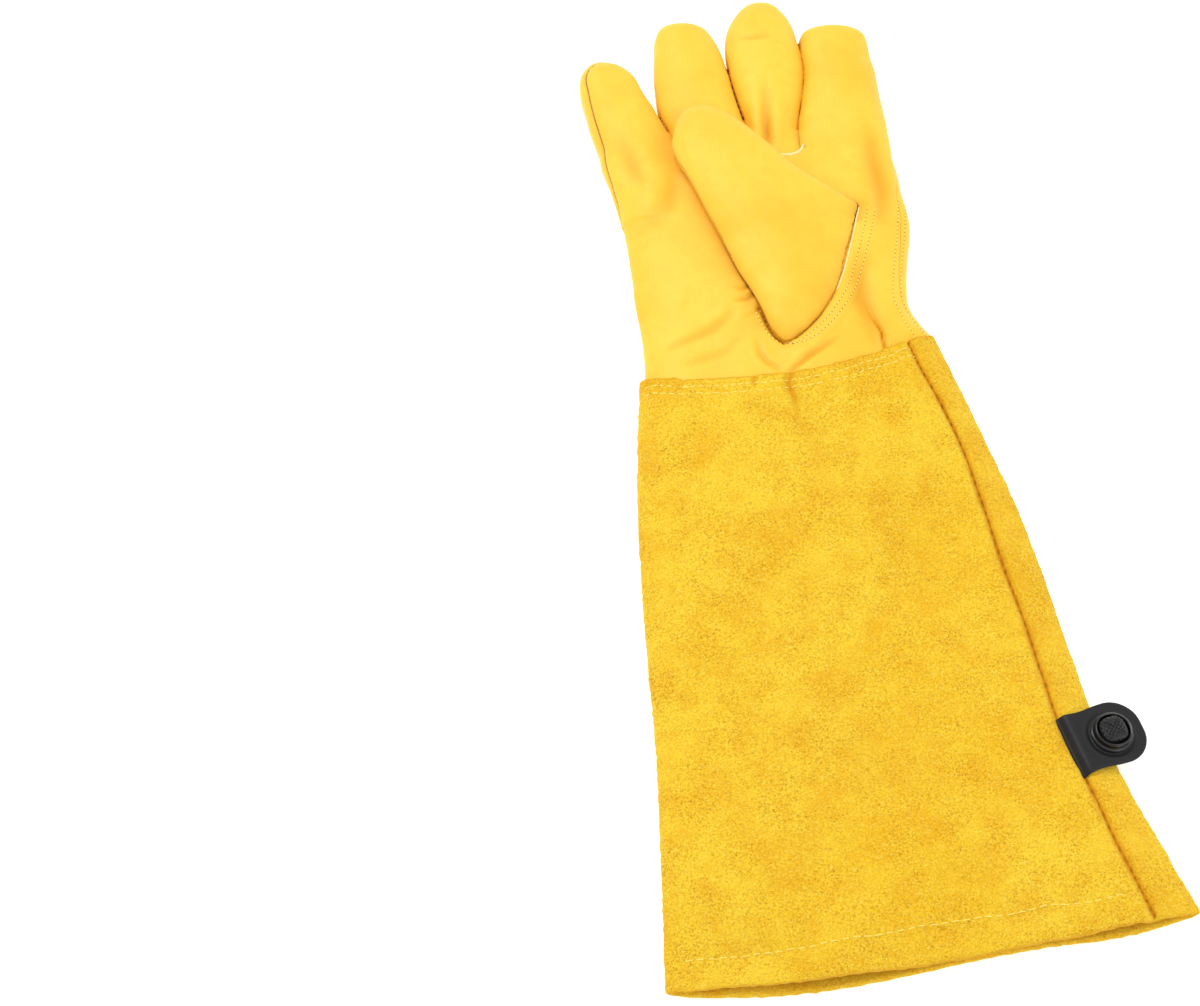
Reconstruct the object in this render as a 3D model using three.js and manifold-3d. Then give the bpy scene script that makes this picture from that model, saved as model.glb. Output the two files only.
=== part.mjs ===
// Rose pruning gauntlet: a right-hand leather glove with a long flared suede cuff. It lies on its back, palm up.
// Millimetres, +Z up, +Y towards the fingertips, +X towards the side of the index finger.
import * as THREE from 'three';
import { mergeVertices } from 'three/addons/utils/BufferGeometryUtils.js';
import Module from 'manifold-3d';

const wasm = await Module();
wasm.setup();

// Sizes of the hand, made of smooth grain leather
const handLength = 204; // cuff edge to the tip of the middle finger
const palmWidth = 131; // the reach of the knuckles, laid flat
const palmThickness = 26;
const fingerThickness = 20.5;
const leatherWall = 1.3;
const thumbLength = 134;
const thumbWidth = 66; // across the wide base of the thumb's front piece
const thumbSwell = 8; // how far the thumb's skin stands over its side seam
const weltDiameter = 1.9; // cream leather piping

// Sizes of the cuff, made of split suede
const cuffLength = 284;
const mouthWidth = 221;
const mouthThickness = 17;
const suedeWall = 1.8;
const hemWidth = 14;
const wristOverlap = 12; // how far the hand is tucked into the cuff
const sectionTilt = THREE.MathUtils.degToRad(10.3); // the cuff's edges lean by this against the hand

// Sizes of the tab and its button
const tabLength = 33;
const tabWidth = 29;
const tabThickness = 2.2;
const tabCorner = 11;
const tabRoot = 4.5; // what is sewn in, below the cuff's surface
const tabDroop = 0.13; // slope of the free end
const tabAlongCuff = 0.735; // share of the cuff's length
const buttonDiameter = 17.5;
const buttonHeight = 4.6;
const buttonBore = 8.6;
const buttonAlongTab = 0.6; // share of the tab's length
const tapeWidth = 6.4;
const tapeThickness = 1.2;

// Clearances
const seamGap = 0.3; // between sewn edges and between pieces that touch
const cuffSeamGap = 0.5;

// Outline and heights of the palm. Shares: x of palmWidth, y of handLength, bottom and top of palmThickness.
const PALM = [
  { along: 0.0, leftX: -0.447, leftY: -0.01, rightX: 0.531, rightY: 0.105, bottom: 0, top: 0.79 },
  { along: 0.1, leftX: -0.448, leftY: -0.01, rightX: 0.526, rightY: 0.105, bottom: 0, top: 0.854 },
  { along: 0.17, leftX: -0.453, leftY: 0.039, rightX: 0.505, rightY: 0.132, bottom: 0, top: 0.877 },
  { along: 0.25, leftX: -0.455, leftY: 0.098, rightX: 0.466, rightY: 0.176, bottom: 0, top: 0.908 },
  { along: 0.36, leftX: -0.473, leftY: 0.172, rightX: 0.45, rightY: 0.235, bottom: 0, top: 0.962 },
  { along: 0.5, leftX: -0.489, leftY: 0.27, rightX: 0.458, rightY: 0.314, bottom: 0, top: 1.0 },
  { along: 0.68, leftX: -0.519, leftY: 0.392, rightX: 0.469, rightY: 0.412, bottom: 0, top: 0.985 },
  { along: 0.82, leftX: -0.557, leftY: 0.475, rightX: 0.449, rightY: 0.492, bottom: 0, top: 0.925 },
  { along: 0.93, leftX: -0.571, leftY: 0.527, rightX: 0.418, rightY: 0.57, bottom: 0.06, top: 0.83 },
  { along: 1.0, leftX: -0.557, leftY: 0.549, rightX: 0.393, rightY: 0.608, bottom: 0.16, top: 0.7 },
];
// How the palm's wrist end sits in the cuff. tuck is 1 at the tucked edge, bulge is how far a section's middle
// hangs towards the cuff, in palmWidth, and lift is the share of the cuff's wall that the hand stands clear of.
const WRIST = [
  { along: 0.0, tuck: 1, bulge: 0.1, lift: 1 },
  { along: 0.1, tuck: 0, bulge: 0.1, lift: 1 },
  { along: 0.17, tuck: 0, bulge: 0.07, lift: 0.6 },
  { along: 0.25, tuck: 0, bulge: 0.04, lift: 0 },
  { along: 0.36, tuck: 0, bulge: 0.01, lift: 0 },
  { along: 0.5, tuck: 0, bulge: 0.0, lift: 0 },
  { along: 1.0, tuck: 0, bulge: 0.0, lift: 0 },
];

// Edges and heights of the fingers. Shares: along of handLength, left and right of palmWidth, bottom and top
// of fingerThickness. tip is the length of the rounded end, a share of handLength, and blunt its squareness.
const FINGERS = {
  pinky: {
    tip: 0.07,
    blunt: 2.2,
    rows: [
      { along: 0.43, left: -0.53, right: -0.29, bottom: 0.02, top: 0.99 },
      { along: 0.549, left: -0.589, right: -0.317, bottom: 0.0, top: 1.03 },
      { along: 0.632, left: -0.626, right: -0.347, bottom: 0.0, top: 1.0 },
      { along: 0.706, left: -0.653, right: -0.408, bottom: 0.01, top: 0.97 },
      { along: 0.765, left: -0.664, right: -0.454, bottom: 0.05, top: 0.92 },
      { along: 0.838, left: -0.667, right: -0.487, bottom: 0.12, top: 0.86 },
    ],
  },
  ring: {
    tip: 0.085,
    blunt: 2.2,
    rows: [
      { along: 0.43, left: -0.279, right: -0.107, bottom: 0.02, top: 0.99 },
      { along: 0.549, left: -0.31, right: -0.1, bottom: 0.0, top: 1.03 },
      { along: 0.632, left: -0.341, right: -0.078, bottom: 0.0, top: 1.02 },
      { along: 0.691, left: -0.384, right: -0.102, bottom: 0.0, top: 1.0 },
      { along: 0.74, left: -0.405, right: -0.126, bottom: 0.01, top: 0.98 },
      { along: 0.838, left: -0.415, right: -0.16, bottom: 0.06, top: 0.93 },
      { along: 0.934, left: -0.41, right: -0.167, bottom: 0.14, top: 0.87 },
    ],
  },
  middle: {
    tip: 0.1,
    blunt: 2.1,
    rows: [
      { along: 0.43, left: -0.099, right: 0.094, bottom: 0.02, top: 0.99 },
      { along: 0.549, left: -0.092, right: 0.094, bottom: 0.0, top: 1.02 },
      { along: 0.623, left: -0.069, right: 0.088, bottom: 0.0, top: 1.0 },
      { along: 0.672, left: -0.085, right: 0.088, bottom: 0.0, top: 1.0 },
      { along: 0.755, left: -0.119, right: 0.107, bottom: 0.01, top: 1.0 },
      { along: 0.809, left: -0.139, right: 0.113, bottom: 0.03, top: 0.98 },
      { along: 0.868, left: -0.153, right: 0.105, bottom: 0.07, top: 0.95 },
      { along: 0.922, left: -0.152, right: 0.088, bottom: 0.11, top: 0.9 },
      { along: 1.0, left: -0.122, right: 0.069, bottom: 0.17, top: 0.86 },
    ],
  },
  index: {
    tip: 0.05,
    blunt: 3,
    rows: [
      { along: 0.43, left: 0.103, right: 0.44, bottom: 0.02, top: 0.99 },
      { along: 0.549, left: 0.102, right: 0.424, bottom: 0.0, top: 1.02 },
      { along: 0.593, left: 0.098, right: 0.412, bottom: 0.0, top: 1.02 },
      { along: 0.672, left: 0.097, right: 0.393, bottom: 0.0, top: 1.0 },
      { along: 0.716, left: 0.105, right: 0.382, bottom: 0.0, top: 1.0 },
      { along: 0.809, left: 0.121, right: 0.365, bottom: 0.02, top: 0.97 },
      { along: 0.868, left: 0.116, right: 0.351, bottom: 0.05, top: 0.93 },
      { along: 0.936, left: 0.118, right: 0.34, bottom: 0.1, top: 0.88 },
    ],
  },
};
// Sections that all fingers share, as shares of handLength, and how many more round off each tip.
const FINGER_SECTIONS = [0.43, 0.52, 0.57, 0.62, 0.68, 0.74, 0.8, 0.87];
const TIP_SECTIONS = 4;

// The thumb lies folded over the palm. It has its own line from the bottom of its seam to its tip.
const THUMB_BASE = { x: 0.076, y: 0.049 }; // shares of palmWidth and handLength
const THUMB_LEAN = THREE.MathUtils.degToRad(20.4);
// Shares: along of thumbLength, left and right of thumbWidth, level (height of the side seam) of palmThickness
// and swell of thumbSwell.
const THUMB = [
  { along: -0.015, left: -0.1, right: 0.0, level: 0.9, swell: 0.15 },
  { along: 0.03, left: -0.129, right: 0.106, level: 0.93, swell: 0.4 },
  { along: 0.075, left: -0.141, right: 0.242, level: 0.96, swell: 0.55 },
  { along: 0.172, left: -0.135, right: 0.46, level: 1.01, swell: 0.78 },
  { along: 0.313, left: -0.18, right: 0.645, level: 1.06, swell: 0.93 },
  { along: 0.403, left: -0.197, right: 0.742, level: 1.09, swell: 0.98 },
  { along: 0.448, left: -0.203, right: 0.785, level: 1.1, swell: 1.0 },
  { along: 0.478, left: -0.206, right: 0.712, level: 1.12, swell: 1.0 },
  { along: 0.522, left: -0.212, right: 0.636, level: 1.14, swell: 1.02 },
  { along: 0.627, left: -0.227, right: 0.5, level: 1.17, swell: 1.04 },
  { along: 0.724, left: -0.236, right: 0.395, level: 1.17, swell: 1.04 },
  { along: 0.843, left: -0.23, right: 0.268, level: 1.14, swell: 1.0 },
  { along: 1.0, left: -0.19, right: 0.13, level: 1.08, swell: 0.9 },
];
const THUMB_TIP = 0.14;
const throatEnd = 0.39; // share of thumbLength where the thumb opens into the palm
const throatRim = 4; // what the thumb's seam lies on
const throatDepth = 0.55; // share of palmThickness that this opening reaches down

// Height of the seam that joins back and front of the hand. Shares of palmThickness, at shares of handLength,
// for the little finger's side, the fingers and the index finger's side.
const SIDE_SEAM = [
  { along: -0.2, left: 0.46, middle: 0.42, right: 0.5 },
  { along: 0.1, left: 0.46, middle: 0.42, right: 0.6 },
  { along: 0.22, left: 0.5, middle: 0.42, right: 0.73 },
  { along: 0.34, left: 0.61, middle: 0.42, right: 0.76 },
  { along: 0.44, left: 0.66, middle: 0.42, right: 0.75 },
  { along: 0.52, left: 0.67, middle: 0.42, right: 0.6 },
  { along: 0.61, left: 0.66, middle: 0.42, right: 0.46 },
  { along: 0.74, left: 0.62, middle: 0.42, right: 0.43 },
  { along: 0.86, left: 0.5, middle: 0.42, right: 0.42 },
  { along: 1.1, left: 0.48, middle: 0.42, right: 0.42 },
];
const SIDE_SEAM_REACH = { left: -0.66, leftIn: -0.4, rightIn: 0.27, right: 0.46 }; // shares of palmWidth

// Seam across the foot of the two middle fingers: shares of palmWidth and handLength.
const FINGER_FEET = [
  { x: -0.315, y: 0.54 },
  { x: -0.2, y: 0.536 },
  { x: -0.096, y: 0.552 },
  { x: 0.0, y: 0.556 },
  { x: 0.099, y: 0.573 },
];

// Outline of the cuff. Shares: along of cuffLength, flare of the widening from wrist to mouth, drift (of the
// edge on the little finger's side) and seam (its distance from the other edge) of mouthWidth, top from the
// mouth's height to the wrist's.
const CUFF = [
  { along: 0.0, flare: 0.0, drift: 0.0, seam: 0.05, top: 1.0 },
  { along: 0.05, flare: 0.06, drift: -0.002, seam: 0.055, top: 0.86 },
  { along: 0.12, flare: 0.145, drift: -0.004, seam: 0.061, top: 0.6 },
  { along: 0.2, flare: 0.242, drift: -0.005, seam: 0.068, top: 0.42 },
  { along: 0.3, flare: 0.345, drift: -0.001, seam: 0.073, top: 0.28 },
  { along: 0.4, flare: 0.413, drift: 0.006, seam: 0.078, top: 0.18 },
  { along: 0.5, flare: 0.467, drift: 0.015, seam: 0.081, top: 0.1 },
  { along: 0.6, flare: 0.52, drift: 0.025, seam: 0.081, top: 0.04 },
  { along: 0.7, flare: 0.597, drift: 0.031, seam: 0.081, top: 0.0 },
  { along: 0.8, flare: 0.709, drift: 0.034, seam: 0.084, top: -0.02 },
  { along: 0.9, flare: 0.85, drift: 0.037, seam: 0.094, top: -0.02 },
  { along: 1.0, flare: 1.0, drift: 0.04, seam: 0.106, top: 0.0 },
];
const mouthBulge = 0.036; // how far the mouth's middle reaches past its corners, as a share of mouthWidth
const cuffLipRound = 0.35; // share of the wall that the mouth's fold is rounded by

// Soft dents in the upper layer of the leather. x and y of the middle and reachX and reachY of the slope are
// shares of palmWidth and handLength for the hand, and of mouthWidth and cuffLength for the cuff. turn leans a
// dent, in degrees, and depth is in millimetres.
const HAND_DENTS = [
  { x: 0.32, y: 0.14, reachX: 0.045, reachY: 0.13, turn: 10, depth: 2.6 },
  { x: -0.32, y: 0.1, reachX: 0.12, reachY: 0.06, turn: -30, depth: 1.4 },
  { x: -0.05, y: 0.02, reachX: 0.05, reachY: 0.08, turn: 35, depth: 1.2 },
];
const CUFF_DENTS = [
  { x: 0.05, y: -0.28, reachX: 0.14, reachY: 0.2, turn: 12, depth: 1.3 },
  { x: 0.2, y: -0.75, reachX: 0.2, reachY: 0.14, turn: -8, depth: 1.6 },
  { x: -0.12, y: -0.9, reachX: 0.1, reachY: 0.12, turn: 0, depth: 1.0 },
];

// Roundness of the sections: end is the power along the width and face the power along the height.
const PALM_SHAPE = { end: 3.2, face: 2.2, steps: 11 };
const FINGER_SHAPE = { end: 2.4, face: 2.2, steps: 7 };
const FINGER_HOLLOW = { ...FINGER_SHAPE, steps: 6 };
const THUMB_SHAPE = { end: 2.4, face: 2.0, steps: 7 };
const CUFF_SHAPE = { end: 5, face: 2.0, topSteps: 11, sideSteps: 3, bottomSteps: 11 };
const PALM_SECTIONS = 13;
const THUMB_SECTIONS = 13;
const THROAT_SECTIONS = 6;
const CUFF_SECTIONS = 11;
const evenShare = 0.45; // of the steps round the hand's sections; the rest crowd towards their ends
const cuffEvenShare = 0.15;
const thumbCrowding = 0.9; // power that draws the thumb's sections to its tip
const pastTip = 1.1; // share of thumbLength that lies clear past its tip
const sideCrowding = 1.6; // power that draws the cuff's steps to its side
const tipCut = 0.985; // share of a rounded tip where it ends flat
const pressedShare = 0.04; // of a section's thickness, pressed level by what it lies on

// Outline of the button's rim, from its foot to the recess in its middle. Shares: out of its radius and up of
// buttonHeight.
const BUTTON_RIM = [
  { out: 1.0, up: 0.0 },
  { out: 1.0, up: 0.22 },
  { out: 0.95, up: 0.275 },
  { out: 0.93, up: 0.62 },
  { out: 0.88, up: 0.86 },
  { out: 0.8, up: 1.0 },
  { out: 0.7, up: 0.97 },
  { out: 0.62, up: 0.8 },
  { out: 0.57, up: 0.42 },
];
const buttonSides = 20;
const tapeCrown = 0.72; // share of buttonHeight that the folded tape stands up to

// Where the piping runs: from this point of the fingers' seam on, and at these shares of the thumb's length.
const FINGER_WELT_START = 2;
const THUMB_WELT_ALONG = [0.45, 0.4, 0.33, 0.25, 0.17];
const footWeltShare = 0.96; // the cord's ends stop this share out along the fingers' seam
const weltSeat = 0.27; // share of weltDiameter that the cord's middle stands over the leather

const { clamp, lerp, smoothstep } = THREE.MathUtils;

// Value of a table's column at a share along it, on a smooth curve through the rows.
function columnAt(rows, column, along) {
  let i = 0;
  while (i < rows.length - 2 && along > rows[i + 1].along) {
    i += 1;
  }
  const slope = (a, b) => (rows[b][column] - rows[a][column]) / (rows[b].along - rows[a].along);
  const span = rows[i + 1].along - rows[i].along;
  const t = clamp((along - rows[i].along) / span, 0, 1);
  const startSlope = slope(Math.max(i - 1, 0), i + 1) * span;
  const endSlope = slope(i, Math.min(i + 2, rows.length - 1)) * span;
  const t2 = t * t;
  const t3 = t2 * t;
  return (
    (2 * t3 - 3 * t2 + 1) * rows[i][column] +
    (t3 - 2 * t2 + t) * startSlope +
    (3 * t2 - 2 * t3) * rows[i + 1][column] +
    (t3 - t2) * endSlope
  );
}

// How far a list of dents lowers a point. s is the point's place up its section, from -1 to 1.
function dentDepth(dents, x, y, s, width, length) {
  let depth = 0;
  for (const dent of dents) {
    const turn = THREE.MathUtils.degToRad(dent.turn);
    const dx = x - dent.x * width;
    const dy = y - dent.y * length;
    const across = (dx * Math.cos(turn) + dy * Math.sin(turn)) / (dent.reachX * width);
    const down = (dy * Math.cos(turn) - dx * Math.sin(turn)) / (dent.reachY * length);
    depth += dent.depth * Math.exp(-(across * across + down * down));
  }
  return depth * Math.max(s, 0);
}

// Draws even steps from -1 to 1 towards both ends, where a section bends most.
function crowded(even, share) {
  return lerp(Math.sin((even * Math.PI) / 2), even, share);
}

// Positions round a flat oval: c across its width and s up its height, both from -1 to 1.
function ovalRing({ end, face, steps }) {
  const ring = [];
  for (const side of [1, -1]) {
    for (let k = 0; k < steps; k += 1) {
      const c = side * crowded(1 - (2 * k) / steps, evenShare);
      ring.push({ c, s: side * ovalHeight(c, end, face) });
    }
  }
  return ring;
}

function ovalHeight(c, end, face) {
  return Math.max(1 - Math.abs(c) ** end, 0) ** (1 / face);
}

// A closed surface through rings of points, all with the same count, with flat ends.
function loft(rings) {
  const count = rings[0].length;
  const points = rings.flat();
  const index = [];
  for (let r = 0; r + 1 < rings.length; r += 1) {
    for (let k = 0; k < count; k += 1) {
      const a = r * count + k;
      const b = r * count + ((k + 1) % count);
      index.push(a, b, b + count, a, b + count, a + count);
    }
  }
  const centre = (ring) => ring.reduce((sum, p) => sum.add(p), new THREE.Vector3()).divideScalar(count);
  const first = points.push(centre(rings[0])) - 1;
  const last = points.push(centre(rings.at(-1))) - 1;
  const lastRing = (rings.length - 1) * count;
  for (let k = 0; k < count; k += 1) {
    const next = (k + 1) % count;
    index.push(first, next, k, last, lastRing + k, lastRing + next);
  }
  return closedSolid(points, index);
}

// A solid from points and triangles. Turned inside out if its faces point in.
function closedSolid(points, index) {
  let volume = 0;
  const cross = new THREE.Vector3();
  for (let i = 0; i < index.length; i += 3) {
    const [a, b, c] = [points[index[i]], points[index[i + 1]], points[index[i + 2]]];
    volume += a.dot(cross.crossVectors(b, c));
  }
  const facing = volume > 0 ? index : index.toReversed();
  const vertProperties = new Float32Array(points.flatMap((p) => [p.x, p.y, p.z]));
  return new wasm.Manifold(new wasm.Mesh({ numProp: 3, vertProperties, triVerts: new Uint32Array(facing) }));
}

// A solid from a closed geometry of three.js. Corners that lie on each other become one.
function solidFrom(geometry) {
  const position = geometry.getAttribute('position');
  const index = geometry.getIndex();
  const points = [];
  const numbers = new Map();
  const corner = (k) => {
    const p = new THREE.Vector3().fromBufferAttribute(position, k);
    const key = p.toArray().map((value) => Math.round(value * 1e4)).join();
    if (!numbers.has(key)) {
      numbers.set(key, points.push(p) - 1);
    }
    return numbers.get(key);
  };
  const triangles = [];
  for (let i = 0; i < (index ? index.count : position.count); i += 3) {
    const [a, b, c] = [0, 1, 2].map((k) => corner(index ? index.getX(i + k) : i + k));
    if (a !== b && b !== c && c !== a) {
      triangles.push(a, b, c);
    }
  }
  return closedSolid(points, triangles);
}

function joined(solids) {
  return solids.reduce((all, solid) => all.add(solid));
}

// The largest body of a cut solid, without the crumbs that a cut along a face can leave.
function mainBody(solid) {
  return solid.decompose().reduce((best, body) => (body.volume() > best.volume() ? body : best));
}

// All that lies under a height given as a function, over a rectangle of the ground.
function groundUnder(height, [x0, x1], [y0, y1], floor) {
  const cells = 12;
  const rings = [];
  for (let j = 0; j <= cells; j += 1) {
    const y = lerp(y0, y1, j / cells);
    const ring = [];
    for (let i = 0; i <= cells; i += 1) {
      const x = lerp(x0, x1, i / cells);
      ring.push(new THREE.Vector3(x, y, height(x, y)));
    }
    for (let i = cells; i >= 0; i -= 1) {
      ring.push(new THREE.Vector3(lerp(x0, x1, i / cells), y, floor));
    }
    rings.push(ring);
  }
  return loft(rings);
}

// An upright prism over an outline of points on the ground.
function prism(outline, bottom, top) {
  const shape = new THREE.Shape(outline.map((p) => new THREE.Vector2(p.x, p.y)));
  const geometry = new THREE.ExtrudeGeometry(shape, { depth: top - bottom, bevelEnabled: false });
  geometry.translate(0, 0, bottom);
  return solidFrom(geometry);
}

// Hand

const wristClear = suedeWall + seamGap;
const acrossCuff = new THREE.Vector2(Math.cos(sectionTilt), Math.sin(sectionTilt));
const downCuff = new THREE.Vector2(Math.sin(sectionTilt), -Math.cos(sectionTilt));
const tuckStep = downCuff.clone().multiplyScalar(wristOverlap);

function palmEdge(side, along) {
  const tuck = columnAt(WRIST, 'tuck', along);
  return new THREE.Vector2(
    columnAt(PALM, `${side}X`, along) * palmWidth,
    columnAt(PALM, `${side}Y`, along) * handLength + tuck * tuckStep.y,
  );
}

function palmRing(along, grow) {
  const left = palmEdge('left', along);
  const right = palmEdge('right', along);
  const middle = left.clone().lerp(right, 0.5);
  const half = right.clone().sub(left).multiplyScalar(0.5);
  half.setLength(half.length() + grow);
  const lift = Math.max(columnAt(WRIST, 'lift', along), 0) * wristClear;
  const rest = lift + Math.max(columnAt(PALM, 'bottom', along), 0) * palmThickness;
  const bottom = rest - grow;
  const top = columnAt(PALM, 'top', along) * palmThickness + grow;
  const bulge = columnAt(WRIST, 'bulge', along) * palmWidth;
  return ovalRing(PALM_SHAPE).map(({ c, s }) => {
    const z = restingHeight(lerp(bottom, top, (s + 1) / 2), s, rest, grow, palmThickness);
    const place = middle.clone().addScaledVector(half, c).addScaledVector(downCuff, bulge * (1 - c * c));
    const dent = dentDepth(HAND_DENTS, place.x, place.y, s, palmWidth, handLength);
    return new THREE.Vector3(place.x, place.y, z - dent);
  });
}

// The leather lies flat on what is under it: the lowest part of a section is pressed level.
function restingHeight(z, s, rest, grow, thickness) {
  const press = pressedShare * thickness;
  if (s < 0) {
    return Math.max(z, rest - grow + press) - press;
  }
  return z - press * (1 - s);
}

function palmSolid(grow, openWrist) {
  const rings = [];
  if (openWrist) {
    const beyond = new THREE.Vector3(tuckStep.x, tuckStep.y, 0);
    rings.push(palmRing(0, grow).map((p) => p.clone().add(beyond)));
  }
  for (let k = 0; k <= PALM_SECTIONS; k += 1) {
    rings.push(palmRing(k / PALM_SECTIONS, grow));
  }
  return loft(rings);
}

function fingerEdge(finger, side, y) {
  return columnAt(FINGERS[finger].rows, side, y / handLength) * palmWidth;
}

function fingerSolid(finger, grow) {
  const { rows, tip, blunt } = FINGERS[finger];
  const end = rows.at(-1).along * handLength + grow;
  const tipLength = tip * handLength;
  const tipStart = end - tipLength;
  const stations = FINGER_SECTIONS.map((along) => along * handLength);
  stations.splice(stations.findLastIndex((y) => y < tipStart - leatherWall) + 1);
  for (let k = 0; k <= TIP_SECTIONS; k += 1) {
    stations.push(tipStart + tipLength * Math.sin(((k / TIP_SECTIONS) * Math.PI) / 2));
  }
  const rings = [];
  for (const y of stations) {
    const past = clamp((y - tipStart) / tipLength, 0, tipCut);
    const round = (1 - past ** blunt) ** (1 / blunt);
    const left = fingerEdge(finger, 'left', y) - grow;
    const right = fingerEdge(finger, 'right', y) + grow;
    const rest = Math.max(columnAt(rows, 'bottom', y / handLength), 0) * fingerThickness;
    const bottom = rest - grow;
    const top = columnAt(rows, 'top', y / handLength) * fingerThickness + grow;
    rings.push(
      ovalRing(grow < 0 ? FINGER_HOLLOW : FINGER_SHAPE).map(({ c, s }) => {
        const z = lerp(bottom, top, (s * round + 1) / 2);
        const pressed = restingHeight(z, s * round, rest, grow, fingerThickness);
        return new THREE.Vector3(lerp(left, right, (c * round + 1) / 2), y, pressed);
      }),
    );
  }
  return loft(rings);
}

function handSolid(grow, openWrist = false) {
  const fingers = Object.keys(FINGERS).map((finger) => fingerSolid(finger, grow));
  return joined([palmSolid(grow, openWrist), ...fingers]);
}

function sideSeamHeight(x, y) {
  const share = x / palmWidth;
  const along = y / handLength;
  const { left, leftIn, rightIn, right } = SIDE_SEAM_REACH;
  const middle = columnAt(SIDE_SEAM, 'middle', along);
  const toLeft = 1 - smoothstep(share, left, leftIn);
  const toRight = smoothstep(share, rightIn, right);
  const height =
    middle +
    toLeft * (columnAt(SIDE_SEAM, 'left', along) - middle) +
    toRight * (columnAt(SIDE_SEAM, 'right', along) - middle);
  return height * palmThickness;
}

const handReach = { x: [-0.85 * palmWidth, 0.7 * palmWidth], y: [-0.3 * handLength, 1.15 * handLength] };
const farAbove = 4 * palmThickness;
const farBelow = -palmThickness;

function underSideSeam(offset) {
  return groundUnder((x, y) => sideSeamHeight(x, y) + offset, handReach.x, handReach.y, farBelow);
}

// A line up the gap between two fingers, moved sideways by a shift.
function gapLine(left, right, shift = 0) {
  return [...FINGER_SECTIONS, 1.2].map((along) => {
    const y = along * handLength;
    return new THREE.Vector2((fingerEdge(left, 'right', y) + fingerEdge(right, 'left', y)) / 2 + shift, y);
  });
}

// Outline of the two middle fingers' fronts, from the seam at their feet up through the gaps beside them.
function frontsOutline(grow) {
  const foot = FINGER_FEET.map(({ x, y }) => new THREE.Vector2(x * palmWidth, y * handLength - grow));
  foot[0].x -= grow;
  foot.at(-1).x += grow;
  const beside = (line, corner) => line.filter((p) => p.y > corner.y * handLength + 2 * seamGap);
  return [
    ...foot,
    ...beside(gapLine('middle', 'index', grow), FINGER_FEET.at(-1)),
    ...beside(gapLine('pinky', 'ring', -grow), FINGER_FEET[0]).reverse(),
  ];
}

// All that lies on the little finger's side of the gap between the two middle fingers.
function ringSide(shift) {
  const line = gapLine('ring', 'middle', shift);
  const farLeft = handReach.x[0];
  return prism([...line, { x: farLeft, y: line.at(-1).y }, { x: farLeft, y: line[0].y }], farBelow, farAbove);
}

// Thumb

const thumbFrame = new THREE.Matrix4()
  .makeTranslation(THUMB_BASE.x * palmWidth, THUMB_BASE.y * handLength, 0)
  .multiply(new THREE.Matrix4().makeRotationZ(THUMB_LEAN));

function thumbPoint(along, across, z) {
  return new THREE.Vector3(across, along, z).applyMatrix4(thumbFrame);
}

function thumbRing(along, grow, reachDown) {
  const past = clamp((along - (1 - THUMB_TIP)) / THUMB_TIP, 0, tipCut);
  const round = Math.sqrt(1 - past * past);
  const left = columnAt(THUMB, 'left', along) * thumbWidth - grow;
  const right = columnAt(THUMB, 'right', along) * thumbWidth + grow;
  const level = columnAt(THUMB, 'level', along) * palmThickness;
  const swell = columnAt(THUMB, 'swell', along) * thumbSwell + grow;
  return ovalRing(THUMB_SHAPE).map(({ c, s }) => {
    const across = lerp(left, right, (c * round + 1) / 2);
    const z = level + s * round * (s > 0 ? swell : reachDown);
    return thumbPoint(along * thumbLength, across, z);
  });
}

function thumbSolid(grow) {
  const start = THUMB[0].along - grow / thumbLength;
  const end = 1 + grow / thumbLength;
  const rings = [];
  for (let k = 0; k <= THUMB_SECTIONS; k += 1) {
    const along = lerp(start, end, Math.sin(((k / THUMB_SECTIONS) * Math.PI) / 2) ** thumbCrowding);
    rings.push(thumbRing(clamp(along, start, 1), grow, thumbSwell + grow).map((p) => shifted(p, along)));
  }
  return loft(rings);
}

// Past the last row of the table the thumb's rings move on along its line.
function shifted(point, along) {
  const step = new THREE.Vector3(0, Math.max(along - 1, 0) * thumbLength, 0);
  return point.clone().add(step.applyAxisAngle(new THREE.Vector3(0, 0, 1), THUMB_LEAN));
}

// The way from the palm into the thumb, inside the seam at its foot.
function throatSolid() {
  const rings = [];
  for (let k = 0; k <= THROAT_SECTIONS; k += 1) {
    const along = lerp(THUMB[1].along, throatEnd, k / THROAT_SECTIONS);
    rings.push(thumbRing(along, -throatRim, throatDepth * palmThickness));
  }
  return loft(rings);
}

// Outline of a stretch of the thumb, seen from above.
function thumbOutline(fromAlong, toAlong, grow) {
  const left = [];
  const right = [];
  for (const share of [0, 0.25, 0.5, 0.75, 1]) {
    const along = lerp(fromAlong, toAlong, share);
    left.push(thumbPoint(along * thumbLength, columnAt(THUMB, 'left', along) * thumbWidth - grow, 0));
    right.push(thumbPoint(along * thumbLength, columnAt(THUMB, 'right', along) * thumbWidth + grow, 0));
  }
  return [...right, ...left.reverse()];
}

// Cuff

const wristLeft = new THREE.Vector2(PALM[1].leftX * palmWidth, PALM[1].leftY * handLength);
const wristRight = new THREE.Vector2(PALM[1].rightX * palmWidth, PALM[1].rightY * handLength);
const wristWidth = wristRight.distanceTo(wristLeft) + 2 * wristClear;
const wristTop = PALM[1].top * palmThickness + wristClear;
const wristBulge = WRIST[1].bulge * palmWidth;

function cuffSection(along) {
  const width = lerp(wristWidth, mouthWidth, columnAt(CUFF, 'flare', along));
  const left = new THREE.Vector2(
    wristLeft.x - wristClear + columnAt(CUFF, 'drift', along) * mouthWidth,
    wristLeft.y - along * cuffLength,
  );
  return {
    width,
    middle: left.clone().addScaledVector(acrossCuff, width / 2),
    bulge: lerp(wristBulge, mouthBulge * mouthWidth, along),
    top: lerp(mouthThickness, wristTop, columnAt(CUFF, 'top', along)),
    seam: 1 - (2 * columnAt(CUFF, 'seam', along) * mouthWidth) / width,
  };
}

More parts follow.
